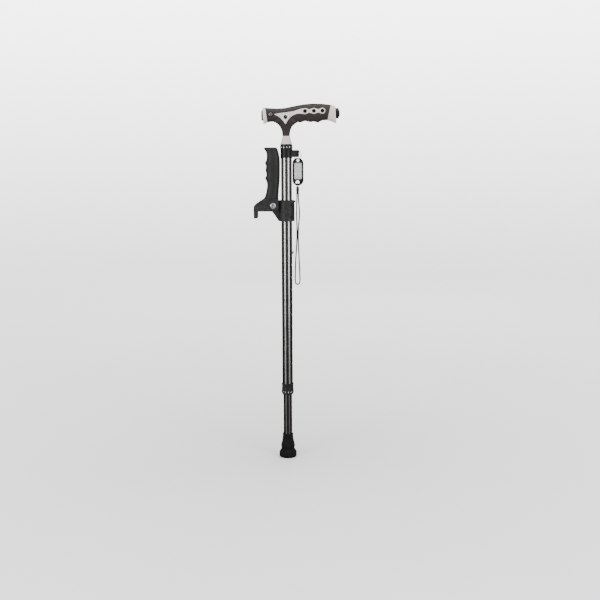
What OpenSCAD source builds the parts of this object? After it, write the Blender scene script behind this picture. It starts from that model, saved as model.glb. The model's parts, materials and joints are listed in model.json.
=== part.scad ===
// Height-adjustable walking cane with one round rubber tip.  Its T-shaped hand grip holds a
// torch in one end and an alarm in the other, a second grip folds out from a clamp on the
// shaft, and a key ring, a name tag and a wrist strap hang from the upper collar.
// Z is up and the shaft's axis is the Z axis; the origin is the middle of the tip's sole.
// The torch end and the folding grip point to -X, and the torch's button faces -Y.
// All sizes are in millimetres, at the shortest height setting.

/* [Shaft] */
// Outside diameter of the outer tube, over its lobes
outer_tube_d = 21.5; // [21.4:0.1:21.6]
// Wall of the outer tube
outer_wall = 1.45; // [1.4:0.05:1.5]
// Wall of the inner tube
inner_wall = 1.2; // [1:0.1:1.3]
// Number of lengthways grooves in each tube
groove_count = 8; // [4:4:8]
// Height of the outer tube's top end
outer_top = 636.2; // [630:0.1:636.2]
// Height of the outer tube's bottom end
outer_bottom = 146; // [146:1:150]
// Height of the inner tube's top end
inner_top = 450; // [448:1:470]

/* [Height adjustment] */
// Number of holes for the snap button
hole_count = 10; // [4:1:10]
// Distance between the holes
hole_pitch = 25.4; // [20:0.1:25.4]
// Height of the top hole, where the button stands at the shortest setting
top_hole_z = 425.4; // [420:0.1:426]
// Diameter of the snap button
button_d = 7; // [5:0.5:7]

/* [Tip] */
// Height of the rubber tip
tip_h = 49.5; // [46:0.5:52]
// Diameter of the rubber tip's foot
tip_d = 35.8; // [34:0.2:38]

/* [Collars] */
// Outside diameter of the lock collar
lock_collar_d = 24; // [24:0.1:25]
// Outside diameter of the collar under the hand grip
upper_collar_d = 24; // [24:0.1:25]
// Number of bright studs round each collar
stud_count = 12; // [4:1:12]
// Width of a stud, which is an upright oval
stud_d = 2.4; // [2:0.1:2.6]

/* [Hand grip] */
// Thickness of the hand grip from front to back
grip_w = 28; // [27.6:0.1:29]
// Radius of the alarm's round end button
alarm_r = 10.3; // [10:0.1:10.4]
// How far the alarm's button goes in
alarm_travel = 2.2; // [1:0.1:2.2]
// Radius of the torch's push button
torch_button_r = 3.7; // [3.2:0.1:3.8]

/* [Folding grip] */
// Width across the fork that carries the folding grip
fork_w = 31; // [30:0.5:32]
// Width of the bracket's tongue between the fork's cheeks
tongue_w = 12; // [10:0.5:12]
// Diameter of the pivot bolt
pivot_d = 6; // [5:0.5:6]

/* [Name tag and strap] */
// Thickness of the name tag
tag_t = 2.6; // [2.4:0.1:2.8]
// Diameter of the wrist strap's cord
cord_d = 2.6; // [1.8:0.1:2.6]

/* [Hidden] */
$fn = 72;

// Tube radii
outer_r = outer_tube_d / 2;
outer_bore_r = outer_r - outer_wall;
inner_r = outer_bore_r - 0.4;
inner_bore_r = inner_r - inner_wall;
running_gap = 0.05;
loose_gap = 0.3;
groove_depth_outer = 0.75;
groove_depth_inner = 0.5;
groove_r = 2.6;

// Snap button: proud of the tube at rest, and just inside the outer tube's bore when pressed
button_r = button_d / 2;
button_out = 13.8;

// Tip: the inner tube stands on a steel washer inside it
tip_floor = 8.2;
washer_t = 1.8;
inner_bottom = tip_floor + washer_t;

// Lock collar
lock_bottom = 133;
lock_top = 156.6;
collet_bottom = 134.8;
collet_r = 10.2;
lock_r = lock_collar_d / 2;
lock_stud_z = 138.6;
stud_seat = 0.9;
stud_out = 0.6;
stud_rise = 0.6;
lock_stud_turn = 7;
dimple_turn = 10.6;
dimple_z = 149.4;
dimple_r = 2.4;

// Upper collar with its forked lug for the key ring's pin
collar_bottom = 612;
collar_top = 638.6;
collar_r = upper_collar_d / 2;
collar_stud_z = 632.5;
collar_stud_turn = 4.3;
lug_end = 25.2;
lug_bottom = 613.6;
lug_top = 627.4;
lug_web = 13.2;
lug_gap = 7.2;
lug_half = 8.7;
ring_pin_at = [21.4, 624.6];
ring_pin_r = 1.2;

// Key ring: it hangs on the lug's pin and goes through the tag's top hole
wire_half = 0.6;
ring_top = ring_pin_at + [0, ring_pin_r + loose_gap + wire_half];
ring_bottom = [22.7, 608.2];
ring_r = norm(ring_bottom - ring_top) / 2;
ring_tilt = -asin((ring_bottom[0] - ring_top[0]) / (2 * ring_r));
ring_turn = -42;

// Hand grip: heights of the neck and of what is inside the bar
neck_bottom = 654.7;
tang_bottom = 596;
tang_top = 695.4;
tang_r = 5.2;
pin_z = 622;
pin_r = 1.6;
torch_z = 694.6;
torch_bay_r = 9.6;
alarm_z = 697.9;
battery_z = 693;
battery_r = 5.2;
battery_len = 44.5;
battery_x = 8;
button_at = [-30.1, 695.6];
inlay_back = 11.9;
inlay_front_y = grip_w / 2 + 0.4;
screw_r = 1.5;
screw_head_r = 3.8;
eye_r = 5.7;
screw_at = [[-1.2, 690.7], [36.8, 701.7], [54, 702], [70.8, 702.3]];

// Folding grip: its pivot, and the bracket's clamp round the shaft
pivot = [-26.5, 518.6];
clamp_bottom = 488.1;
clamp_top = 529.5;
clamp_r = 15.8;
clamp_split = 6;
tongue_half = tongue_w / 2;
fork_half = fork_w / 2;
cheek_gap = 0.4;
pivot_r = pivot_d / 2;
sleeve_r = pivot_r + 1;
clamp_screw_at = [[12.5, 497], [12.5, 520.6], [-12.5, 497], [-12.5, 520.6]];
grip_base = 533;
spine_x = -29.5;

// Name tag and strap
tag_x = 22.7;
tag_top_z = 607.7;
tag_hole_r = 2.6;
tag_end_r = 11;
tag_ends_z = [568.9, 601.3];
loop_x = 21.9;
loop_z = 561.9;
loop_r = 2;
loop_wire_r = 0.7;
sleeve_top = 556.4;
sleeve_bottom = 541;

// Route of the wrist cord: out of its sleeve, down, round the bottom and back up into it
cord_route = [
  [20.5, 0, 541], [20.5, 0, 535], [20.3, 0, 528], [20, 0, 519], [19.8, 0, 510],
  [19.8, 0, 500], [20, 0, 490], [20.3, 0, 479], [20.5, 0, 468], [20.4, 0, 457],
  [20, 0, 446], [19.2, 0, 434], [18.3, 0, 421], [17.4, 0, 407], [16.8, 0, 393],
  [16.5, 0, 380], [16.4, 0, 371], [16.8, 0, 365], [18.2, 0, 362], [21.2, 0, 360.6],
  [24.2, 0, 362], [25.6, 0, 365], [26, 0, 371], [25.8, 0, 380], [25.3, 0, 393],
  [24.6, 0, 407], [24, 0, 421], [23.4, 0, 434], [22.9, 0, 446], [22.8, 0, 457],
  [23, 0, 468], [23.7, 0, 479], [24.6, 0, 490], [25.3, 0, 500], [25.2, 0, 510],
  [24.5, 0, 519], [23.8, 0, 528], [23.4, 0, 535], [23.3, 0, 541]
];

// ---------------------------------------------------------------- shared shapes

// A number raised to a power with its sign kept
function signed_power(v, p) = sign(v) * pow(abs(v), p);

// One closed section across X: top, bottom and half width, its top leaned by lean
function section_x(x, low, high, half, lean, count = 24, power = 2.7) =
  let (mid = (low + high) / 2)
  let (rise = (high - low) / 2)
  [for (i = [0:count - 1])
    let (turn = i * 360 / count)
    let (z = rise * signed_power(sin(turn), 2 / power))
    [x + lean * z, half * signed_power(cos(turn), 2 / power), mid + z]];

// One closed section across Z: left and right edges and half width
function section_z(z, left, right, half, count = 24, power = 2.4) =
  let (mid = (left + right) / 2)
  let (reach = (right - left) / 2)
  [for (i = [0:count - 1])
    let (turn = i * 360 / count)
    [mid + reach * signed_power(cos(turn), 2 / power),
     half * signed_power(sin(turn), 2 / power), z]];

// A solid through a row of closed sections with the same number of points
module loft(sections) {
  count = len(sections[0]);
  last = len(sections) - 1;
  points = [for (s = sections) for (p = s) p];
  sides = [for (i = [0:last - 1]) for (j = [0:count - 1])
    let (k = (j + 1) % count)
    let (a = i * count + j)
    let (b = i * count + k)
    each [[a, b + count, b], [a, a + count, b + count]]];
  first_cap = [for (j = [0:count - 1]) j];
  last_cap = [for (j = [count - 1:-1:0]) last * count + j];
  polyhedron(points, concat([first_cap], sides, [last_cap]), convexity = 6);
}

// Sections of a round tube along a path; across is a vector the path never runs along
function tube_sections(path, radius, count, across) =
  [for (i = [0:len(path) - 1])
    let (before = path[max(i - 1, 0)])
    let (after = path[min(i + 1, len(path) - 1)])
    let (along = (after - before) / norm(after - before))
    let (side = across - (across * along) * along)
    let (n = side / norm(side))
    let (b = cross(along, n))
    [for (j = [0:count - 1])
      let (turn = j * 360 / count)
      path[i] + radius * (cos(turn) * n + sin(turn) * b)]];

// A cylinder along X or along Y, from one coordinate to another
module rod_x(from, to, y, z, r) {
  translate([from, y, z])
    rotate([0, 90, 0])
      cylinder(h = to - from, r = r);
}

module rod_y(from, to, x, z, r) {
  translate([x, from, z])
    rotate([-90, 0, 0])
      cylinder(h = to - from, r = r);
}

// A plate with its outline in X and Z, from one y to another
module plate_xz(from, to) {
  translate([0, to, 0])
    rotate([90, 0, 0])
      linear_extrude(to - from)
        children();
}

// Ring of one height between two radii
module ring(bottom, top, outside, inside) {
  translate([0, 0, bottom])
    difference() {
      cylinder(h = top - bottom, r = outside);
      translate([0, 0, -1])
        cylinder(h = top - bottom + 2, r = inside);
    }
}

// Outline of a tube with lengthways grooves; one groove faces -Y and one +X
module grooved_disc(r, depth) {
  difference() {
    circle(r);
    for (i = [0:groove_count - 1])
      rotate(i * 360 / groove_count)
        translate([r - depth + groove_r, 0])
          circle(groove_r);
  }
}

// Coil spring with its axis along Z, from z = 0 up
module coil_spring(height, coil_r, wire_r, turns) {
  steps = 10;
  path = [for (i = [0:turns * steps])
    let (turn = i * 360 / steps)
    let (rise = wire_r + (height - 2 * wire_r) * i / (turns * steps))
    [coil_r * cos(turn), coil_r * sin(turn), rise]];
  loft(tube_sections(path, wire_r, 6, [0, 0, 1]));
}

// Studs or their seats round a collar
module stud_ring(z, turn, from, to, r) {
  for (i = [0:stud_count - 1])
    rotate([0, 0, turn - 90 + i * 360 / stud_count])
      union() {
        for (end_z = [z - stud_rise, z + stud_rise])
          rod_x(from, to, 0, end_z, r);
        translate([from, -r, z - stud_rise])
          cube([to - from, 2 * r, 2 * stud_rise]);
      }
}

// ---------------------------------------------------------------- lower shaft

module tip() {
  foot_r = tip_d / 2;
  color([0.10, 0.10, 0.10])
    difference() {
      rotate_extrude()
        polygon([
          [0, 0], [foot_r - 1.5, 0], [foot_r, 1.5], [foot_r, 10.9], [foot_r - 2.4, 14.2],
          [13.3, 18.1], [14.2, 21], [14.6, 23.8], [13.6, 27.5], [12, 35], [10.75, 41.8],
          [10.4, tip_h], [0, tip_h]
        ]);
      translate([0, 0, tip_floor])
        cylinder(h = tip_h, r = inner_r + 0.02);
      // Concentric treads in the sole
      for (r = [6, 11])
        ring(-1, 2, r + 2, r);
    }
}

module tip_washer() {
  color([0.7, 0.7, 0.72])
    translate([0, 0, tip_floor])
      cylinder(h = washer_t, r = inner_r - 0.1);
}

module inner_tube() {
  color([0.56, 0.57, 0.58])
    difference() {
      translate([0, 0, inner_bottom])
        linear_extrude(inner_top - inner_bottom)
          grooved_disc(inner_r, groove_depth_inner);
      translate([0, 0, inner_bottom - 1])
        cylinder(h = inner_top - inner_bottom + 2, r = inner_bore_r);
      rod_x(0, 20, 0, top_hole_z, button_r + running_gap);
    }
}

// Plug in the inner tube's top end; its flange slides in the outer tube
module inner_tube_cap() {
  color([0.15, 0.15, 0.15])
    difference() {
      union() {
        translate([0, 0, inner_top - 8])
          cylinder(h = 8, r = inner_bore_r - 0.04);
        translate([0, 0, inner_top])
          cylinder(h = 3.5, r = outer_bore_r - running_gap);
      }
      translate([0, 0, inner_top - 9])
        cylinder(h = 14, r = 5);
    }
}

// V-shaped leaf spring that pushes the snap button out
module snap_spring() {
  color([0.75, 0.75, 0.77])
    plate_xz(-3, 3)
      polygon([
        [7, 431], [7, 418], [1, 391], [-1, 391], [-7, 418], [-7, 431],
        [-6.3, 431], [-6.3, 418.1], [-0.5, 391.8], [0.5, 391.8], [6.3, 418.1], [6.3, 431]
      ]);
}

module snap_button() {
  color([0.88, 0.89, 0.9])
    translate([7.05, 0, top_hole_z])
      rotate([0, 90, 0])
        rotate_extrude()
          polygon(concat(
            [[0, 0], [button_r, 0]],
            [for (a = [0:10:80])
              [button_r * cos(a), button_out - 7.05 - 1.4 * (1 - sin(a))]],
            [[0, button_out - 7.05]]
          ));
}

// ---------------------------------------------------------------- upper shaft

module outer_tube() {
  color([0.45, 0.45, 0.46])
    difference() {
      translate([0, 0, outer_bottom])
        linear_extrude(outer_top - outer_bottom)
          grooved_disc(outer_r, groove_depth_outer);
      translate([0, 0, outer_bottom - 1])
        cylinder(h = outer_top - outer_bottom + 2, r = outer_bore_r);
      for (i = [0:hole_count - 1])
        rod_x(0, 20, 0, top_hole_z - i * hole_pitch, button_r + loose_gap);
      rod_y(-20, 20, 0, pin_z, pin_r);
    }
}

// Slotted bush under the outer tube's end; the lock collar squeezes it on the inner tube
module collet() {
  color([0.85, 0.85, 0.83])
    difference() {
      ring(collet_bottom, outer_bottom, collet_r, inner_r + running_gap);
      for (a = [0:60:179])
        rotate([0, 0, a])
          translate([-20, -0.5, collet_bottom - 1])
            cube([40, 1, 8]);
    }
}

module lock_collar() {
  color([0.16, 0.16, 0.17])
    difference() {
      translate([0, 0, lock_bottom])
        rotate_extrude()
          polygon([
            [outer_bore_r, 0], [lock_r - 1.4, 0], [lock_r + 0.4, 3.4], [lock_r + 0.4, 8],
            [lock_r - 0.2, 8.8], [lock_r - 0.2, 10.2], [lock_r + 0.3, 11.4],
            [lock_r - 0.2, 13.4], [lock_r - 0.2, 20.4], [lock_r + 0.3, 21],
            [lock_r + 0.3, 23], [lock_r - 0.3, lock_top - lock_bottom],
            [outer_bore_r, lock_top - lock_bottom]
          ]);
      translate([0, 0, outer_bottom])
        cylinder(h = 20, r = outer_r + running_gap);
      translate([0, 0, collet_bottom - 0.4])
        cylinder(h = 20, r = collet_r + loose_gap);
      stud_ring(lock_stud_z, lock_stud_turn, lock_r - stud_seat, lock_r + 3,
                stud_d / 2 + 0.05);
      // Shallow dimple on the front
      rotate([0, 0, dimple_turn - 90])
        rod_x(lock_r - 0.6, lock_r + 3, 0, dimple_z, dimple_r);
    }
}

module lock_collar_studs() {
  color([0.9, 0.91, 0.93])
    stud_ring(lock_stud_z, lock_stud_turn, lock_r - stud_seat, lock_r + stud_out,
              stud_d / 2);
}

module upper_collar() {
  color([0.16, 0.16, 0.17])
    difference() {
      union() {
        ring(collar_bottom, collar_top, collar_r, outer_r - 0.5);
        // Lug: a web and two cheeks that hold the key ring's pin
        difference() {
          plate_xz(-lug_half, lug_half)
            polygon([
              [8, lug_bottom], [lug_end - 1.5, lug_bottom], [lug_end, lug_bottom + 1.5],
              [lug_end, lug_top - 1.5], [lug_end - 1.5, lug_top], [8, lug_top]
            ]);
          translate([lug_web, -lug_gap, lug_bottom - 1])
            cube([20, 2 * lug_gap, lug_top - lug_bottom + 2]);
          rod_y(-20, 20, ring_pin_at[0], ring_pin_at[1], ring_pin_r);
        }
      }
      translate([0, 0, collar_bottom - 1])
        cylinder(h = outer_top - collar_bottom + 1, r = outer_r + running_gap);
      translate([0, 0, collar_bottom])
        cylinder(h = 40, r = outer_bore_r + 0.1);
      stud_ring(collar_stud_z, collar_stud_turn, collar_r - stud_seat, collar_r + 3,
                stud_d / 2 + 0.05);
    }
}

module upper_collar_studs() {
  color([0.9, 0.91, 0.93])
    stud_ring(collar_stud_z, collar_stud_turn, collar_r - stud_seat, collar_r + stud_out,
              stud_d / 2);
}

module ring_pin() {
  color([0.3, 0.3, 0.3])
    rod_y(-lug_half + 0.1, lug_half - 0.1, ring_pin_at[0], ring_pin_at[1],
          ring_pin_r - 0.02);
}

module tube_pin() {
  color([0.75, 0.75, 0.77])
    rod_y(-outer_r + 0.4, outer_r - 0.4, 0, pin_z, pin_r - 0.02);
}

// Spigot that joins the outer tube, the ferrule and the hand grip
module handle_tang() {
  color([0.65, 0.65, 0.66])
    difference() {
      union() {
        translate([0, 0, tang_bottom])
          cylinder(h = collar_top - tang_bottom, r = outer_bore_r - 0.02);
        translate([0, 0, collar_top])
          cylinder(h = tang_top - collar_top, r = tang_r);
      }
      rod_y(-20, 20, 0, pin_z, pin_r);
      rod_y(-20, 20, screw_at[0][0], screw_at[0][1], screw_r + 0.05);
      translate([0, 0, tang_bottom - 1])
        cylinder(h = 20, r = 6.5);
    }
}

module neck_ferrule() {
  color([0.83, 0.81, 0.79])
    difference() {
      translate([0, 0, collar_top])
        rotate_extrude()
          polygon([
            [0, 0], [10.6, 0], [11.2, 0.6], [10.9, 2.5], [9.9, 5.5], [9, 8.2],
            [8, 11.8], [7.2, 14.8], [7, neck_bottom - collar_top], [0, neck_bottom - collar_top]
          ]);
      translate([0, 0, collar_top - 1])
        cylinder(h = 30, r = tang_r + 0.02);
    }
}

// ---------------------------------------------------------------- hand grip

// Outside of the grip's bar, with finger grooves under its right half
module bar_solid() {
  half = grip_w / 2;
  loft([
    section_x(-39.2, 681.0, 709.1, half - 1.5, -0.154),
    section_x(-33.0, 681.6, 708.4, half - 0.9, -0.1),
    section_x(-20.6, 682.6, 707.7, half - 0.5, 0),
    section_x(-10.7, 683.0, 707.9, half - 0.3, 0),
    section_x(-0.7, 683.0, 708.9, half - 0.2, 0),
    section_x(9.2, 683.0, 710.8, half, 0),
    section_x(22.8, 681.6, 713.5, half, 0),
    section_x(29.0, 680.9, 714.6, half, 0),
    section_x(35.3, 682.9, 715.5, half, 0),
    section_x(41.5, 682.5, 716.3, half, 0),
    section_x(47.8, 681.3, 716.7, half, 0),
    section_x(54.0, 682.0, 716.7, half, 0),
    section_x(61.5, 680.4, 716.7, half, 0),
    section_x(67.0, 682.2, 716.4, half, 0),
    section_x(72.7, 684.3, 715.9, half, 0.08),
    section_x(84.3, 684.7, 714.0, half - 0.5, 0.21)
  ]);
}

// Outside of the neck that flares up into the bar
module neck_solid() {
  half = grip_w / 2;
  loft([
    section_z(neck_bottom, -7.5, 6.9, 7.3),
    section_z(659.5, -7.9, 7.3, 7.9),
    section_z(665.0, -8.9, 8.4, 9.2),
    section_z(669.5, -10.6, 9.9, 10.8),
    section_z(673.5, -13.0, 12.5, 12),
    section_z(677.5, -16.9, 16.9, half - 1.5),
    section_z(680.0, -20.5, 20.8, half - 1.2),
    section_z(681.6, -24.5, 23.5, half - 1),
    section_z(685.5, -26.0, 25.0, half - 0.8),
    section_z(692.0, -26.0, 25.0, half - 0.7)
  ]);
}

// Cross-section of the battery holder, seen along X
module battery_outline(extra) {
  for (side = [-1, 1])
    translate([0, side * (battery_r + 0.1)])
      circle(battery_r + extra);
  square([2 * (battery_r + extra), 2 * battery_r + 0.2], center = true);
}

module battery_prism(from, to, extra) {
  translate([from, 0, battery_z])
    rotate([0, 90, 0])
      linear_extrude(to - from)
        battery_outline(extra);
}

// Outline of the light inlay: three arms that meet over the neck, and a chain of eyes
module inlay_outline() {
  polygon([
    [-22, 696.4], [-8.4, 698.5], [3.1, 699.6], [14.1, 701.6], [27.4, 705.6], [34, 706.4],
    [34, 697.2], [24, 696.7], [14.1, 693.8], [9, 690.5], [4.5, 685.6], [-1, 676.6],
    [-4.5, 681.2], [-8, 685.6], [-11.9, 689.5], [-17, 692.8], [-22, 694.4]
  ]);
  for (at = [screw_at[1], screw_at[2], screw_at[3]])
    translate(at)
      circle(eye_r);
  translate([36, 698.5])
    square([36, 7]);
}

// Everything that is hollow in the grip
module grip_hollows() {
  rod_x(-60, -24, 0, torch_z, torch_bay_r);
  rod_x(58.5, 120, 0, alarm_z, alarm_r - 0.3);
  battery_prism(5.8, 56.2, 1.1);
  translate([0, 0, 600])
    cylinder(h = tang_top + 0.2 - 600, r = tang_r + 0.05);
  // Channel for the leads above the tang
  translate([-26, -2, 697])
    cube([34, 4, 3]);
  translate([55, -2, 691])
    cube([5, 4, 3]);
  for (at = screw_at) {
    rod_y(-30, 10, at[0], at[1], screw_r + 0.05);
    rod_y(5.9, 30, at[0], at[1], 2.3);
  }
  plate_xz(-30, -inlay_back)
    inlay_outline();
  plate_xz(inlay_back, 30)
    inlay_outline();
}

module grip_shell_front() {
  color([0.25, 0.22, 0.21])
    difference() {
      intersection() {
        union() {
          bar_solid();
          neck_solid();
        }
        translate([-60, -40, 640])
          cube([180, 40, 100]);
      }
      grip_hollows();
      rod_y(-30, -5, button_at[0], button_at[1], torch_button_r + running_gap);
    }
}

module grip_shell_rear() {
  color([0.25, 0.22, 0.21])
    difference() {
      intersection() {
        union() {
          bar_solid();
          neck_solid();
        }
        translate([-60, 0, 640])
          cube([180, 40, 100]);
      }
      grip_hollows();
    }
}

module inlay_front() {
  color([0.83, 0.81, 0.79])
    difference() {
      plate_xz(-inlay_front_y, -inlay_back)
        inlay_outline();
      for (at = screw_at)
        rod_y(-30, 0, at[0], at[1], screw_r + 0.05);
    }
}

module inlay_rear() {
  color([0.83, 0.81, 0.79])
    difference() {
      plate_xz(inlay_back, inlay_front_y)
        inlay_outline();
      for (at = screw_at)
        rod_y(0, 30, at[0], at[1], 2.3);
    }
}

// Four screws with broad heads that hold the two shells and the inlays together
module grip_screws() {
  color([0.3, 0.3, 0.31])
    for (at = screw_at) {
      rod_y(-inlay_front_y - 1.2, -inlay_front_y, at[0], at[1], screw_head_r);
      rod_y(-inlay_front_y, 9, at[0], at[1], screw_r);
    }
}

module grip_screw_nuts() {
  color([0.3, 0.3, 0.31])
    for (at = screw_at)
      difference() {
        union() {
          rod_y(6, inlay_front_y, at[0], at[1], 2.25);
          rod_y(inlay_front_y, inlay_front_y + 1.2, at[0], at[1], screw_head_r);
        }
        rod_y(5, 9.2, at[0], at[1], screw_r + 0.02);
      }
}

// Flared end pieces of the bar
module front_cap() {
  half = grip_w / 2;
  color([0.83, 0.81, 0.79])
    difference() {
      loft([
        section_x(-45.0, 678.8, 708.8, half - 0.9, -0.047),
        section_x(-44.4, 677.9, 709.6, half, -0.06),
        section_x(-42.0, 679.4, 709.4, half - 0.6, -0.1),
        section_x(-39.2, 681.0, 709.1, half - 1.5, -0.154)
      ]);
      rod_x(-60, -44.4, 0, torch_z, 10.45);
      rod_x(-60, -30, 0, torch_z, torch_bay_r);
    }
}

module rear_cap() {
  half = grip_w / 2;
  color([0.83, 0.81, 0.79])
    difference() {
      loft([
        section_x(84.3, 684.7, 714.0, half - 0.5, 0.21),
        section_x(88.5, 683.4, 713.6, half - 0.2, 0.12),
        section_x(92.5, 681.0, 713.0, half + 0.4, 0),
        section_x(95.4, 679.0, 712.4, half + 0.8, -0.09),
        section_x(96.2, 679.8, 711.6, half, -0.1)
      ]);
      // Seat for the alarm's button, with a ledge that stops it
      rod_x(87.4, 120, 0, alarm_z, alarm_r + running_gap);
      rod_x(70, 120, 0, alarm_z, alarm_r - 2);
    }
}

// ---------------------------------------------------------------- torch

module torch_bezel() {
  color([0.2, 0.2, 0.21])
    translate([0, 0, torch_z])
      rotate([0, 90, 0])
        rotate_extrude()
          polygon([
            [10.4, -44.4], [10.4, -46.4], [9.9, -47.5], [9.2, -48.2], [8.6, -48.4],
            [8.6, -47.2], [9.3, -47.2], [9.3, -44.4]
          ]);
}

module torch_lens() {
  color([0.9, 0.95, 1, 0.35])
    rod_x(-47.2, -45.8, 0, torch_z, 9.25);
}

module torch_reflector() {
  color([0.9, 0.9, 0.92])
    translate([-45.4, 0, torch_z])
      rotate([0, 90, 0])
        rotate_extrude()
          polygon([[8.5, 0], [9.25, 0], [9.25, 1], [3.4, 8], [2.6, 8], [2.6, 7.4]]);
}

module led_module() {
  color([0.2, 0.45, 0.3])
    rod_x(-37.4, -36.4, 0, torch_z, 9.3);
  color([1, 0.95, 0.7])
    rod_x(-39.6, -37.4, 0, torch_z, 2.2);
}

module switch_board() {
  color([0.2, 0.45, 0.3])
    union() {
      translate([-35, -6.6, 689])
        cube([10, 1, 12]);
      rod_y(-7.3, -6.6, button_at[0], button_at[1], 1.8);
    }
}

module torch_button() {
  color([0.85, 0.78, 0.76])
    rod_y(-grip_w / 2 - 0.9, -8.8, button_at[0], button_at[1], torch_button_r);
}

module torch_button_spring() {
  color([0.75, 0.75, 0.77])
    translate([button_at[0], -6.6, button_at[1]])
      rotate([90, 0, 0])
        coil_spring(2.2, 2.8, 0.25, 3);
}

// Open-ended sleeve that holds the two cells side by side
module battery_holder() {
  color([0.15, 0.15, 0.15])
    difference() {
      battery_prism(6, 56, 1.0);
      battery_prism(7, 55, 0.1);
    }
}

module torch_batteries() {
  color([0.2, 0.3, 0.55])
    for (side = [-1, 1])
      rod_x(battery_x, battery_x + battery_len, side * (battery_r + 0.1), battery_z,
            battery_r);
  color([0.8, 0.8, 0.8])
    for (side = [-1, 1])
      rod_x(battery_x + battery_len, battery_x + battery_len + 0.8,
            side * (battery_r + 0.1), battery_z, 1.9);
}

// ---------------------------------------------------------------- alarm

module alarm_buzzer() {
  color([0.12, 0.12, 0.12])
    difference() {
      rod_x(59.5, 65.5, 0, alarm_z, 9);
      rod_x(64.5, 66, 0, alarm_z, 2);
    }
}

module alarm_board() {
  color([0.2, 0.45, 0.3])
    union() {
      rod_x(76, 77.4, 0, alarm_z, 9.6);
      rod_x(77.4, 80.5, 0, alarm_z, 2.4);
    }
}

module alarm_spring() {
  color([0.75, 0.75, 0.77])
    translate([77.4, 0, alarm_z])
      rotate([0, 90, 0])
        coil_spring(12.2, 4.2, 0.5, 6);
}

// Domed end button; its stem closes the switch on the alarm's board
module alarm_button() {
  back = 89.8;
  skirt = 102.4;
  color([0.13, 0.13, 0.14])
    translate([back, 0, alarm_z])
      rotate([0, 90, 0])
        rotate_extrude()
          polygon(concat(
            [[0, -6.8], [2.2, -6.8], [2.2, 0], [alarm_r, 0]],
            [for (a = [0:10:80])
              [alarm_r - 2 + 2 * cos(a), skirt - back - 1.4 + 1.4 * sin(a)]],
            [[6, 14.4], [3, 15.1], [0, 15.2]]
          ));
}

// ---------------------------------------------------------------- clamp and folding grip

// Tongue that carries the pivot, with its slanted lower edge
module tongue_outline() {
  translate(pivot)
    circle(10.8);
  polygon([
    [pivot[0], 529.4], [-11, 529.4], [-11, clamp_bottom], [-15.8, clamp_bottom],
    [-20.4, 495.3], [-24.3, 500.9], [-30.2, 508.5], pivot
  ]);
}

module clamp_bracket() {
  color([0.17, 0.17, 0.18])
    difference() {
      union() {
        intersection() {
          ring(clamp_bottom, clamp_top, clamp_r, outer_r);
          translate([-30, -30, clamp_bottom - 1])
            cube([30 + clamp_split, 60, 60]);
        }
        plate_xz(-tongue_half, tongue_half)
          tongue_outline();
      }
      translate([0, 0, clamp_bottom - 1])
        cylinder(h = 60, r = outer_r + 0.03);
      rod_y(-20, 20, pivot[0], pivot[1], sleeve_r + 0.01);
      for (at = clamp_screw_at)
        rod_x(-4.2, 20, at[0], at[1], 1.27);
    }
}

module clamp_back() {
  color([0.17, 0.17, 0.18])
    difference() {
      union() {
        intersection() {
          ring(clamp_bottom, clamp_top, clamp_r, outer_r);
          translate([clamp_split + 0.2, -30, clamp_bottom - 1])
            cube([30, 60, 60]);
        }
        // Short lip near the top
        intersection() {
          ring(525.6, 528.6, clamp_r + 2, outer_r);
          translate([clamp_split + 0.2, -9, 520])
            cube([30, 18, 20]);
        }
      }
      translate([0, 0, clamp_bottom - 1])
        cylinder(h = 60, r = outer_r + 0.03);
      for (at = clamp_screw_at) {
        rod_x(0, 30, at[0], at[1], 1.35);
        rod_x(8.2, 30, at[0], at[1], 2.5);
      }
    }
}

module clamp_screws() {
  color([0.3, 0.3, 0.31])
    for (at = clamp_screw_at) {
      rod_x(-4, 8.2, at[0], at[1], 1.25);
      rod_x(8.2, 10.2, at[0], at[1], 2.3);
    }
}

module pivot_sleeve() {
  color([0.8, 0.72, 0.5])
    difference() {
      rod_y(-tongue_half, tongue_half, pivot[0], pivot[1], sleeve_r);
      rod_y(-20, 20, pivot[0], pivot[1], pivot_r + running_gap);
    }
}

// Side view of the fork: boss round the pivot, flat underside and the hook's arm
module fork_outline() {
  translate(pivot)
    circle(10.9);
  polygon([
    [-16.6, grip_base], [-15.9, 526], [-15.6, pivot[1]], pivot,
    [pivot[0], 507.7], [-57.4, 507.7], [-57.4, 494.2], [-64.4, 494.2], [-65.1, 495],
    [-65.1, 517.6], [-64, 519.8], [-59.7, 523.5], [-46.6, 532], [-45.4, grip_base]
  ]);
}

// Space that the bracket's tongue takes up while the fork turns round it
module fork_slot_outline() {
  translate(pivot)
    circle(11.3);
  polygon([
    [pivot[0], 529.9], [0, 529.9], [0, 480], [-57.8, 480], [-57.8, 508.2],
    [-37.9, 523], pivot
  ]);
}

module assist_core() {
  color([0.16, 0.16, 0.17])
    difference() {
      union() {
        plate_xz(-fork_half, fork_half)
          fork_outline();
        translate([spine_x - 5, -6, grip_base - 1])
          cube([10, 12, 80]);
      }
      plate_xz(-tongue_half - cheek_gap, tongue_half + cheek_gap)
        fork_slot_outline();
      rod_y(-30, 30, pivot[0], pivot[1], pivot_r + 0.02);
      // The shaft lies in this notch when the grip is folded out
      rod_x(-70, -50, 0, pivot[1] + pivot[0], outer_r + 0.55);
      translate([spine_x, 0, 600])
        cylinder(h = 20, r = 1.55);
    }
}

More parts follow.
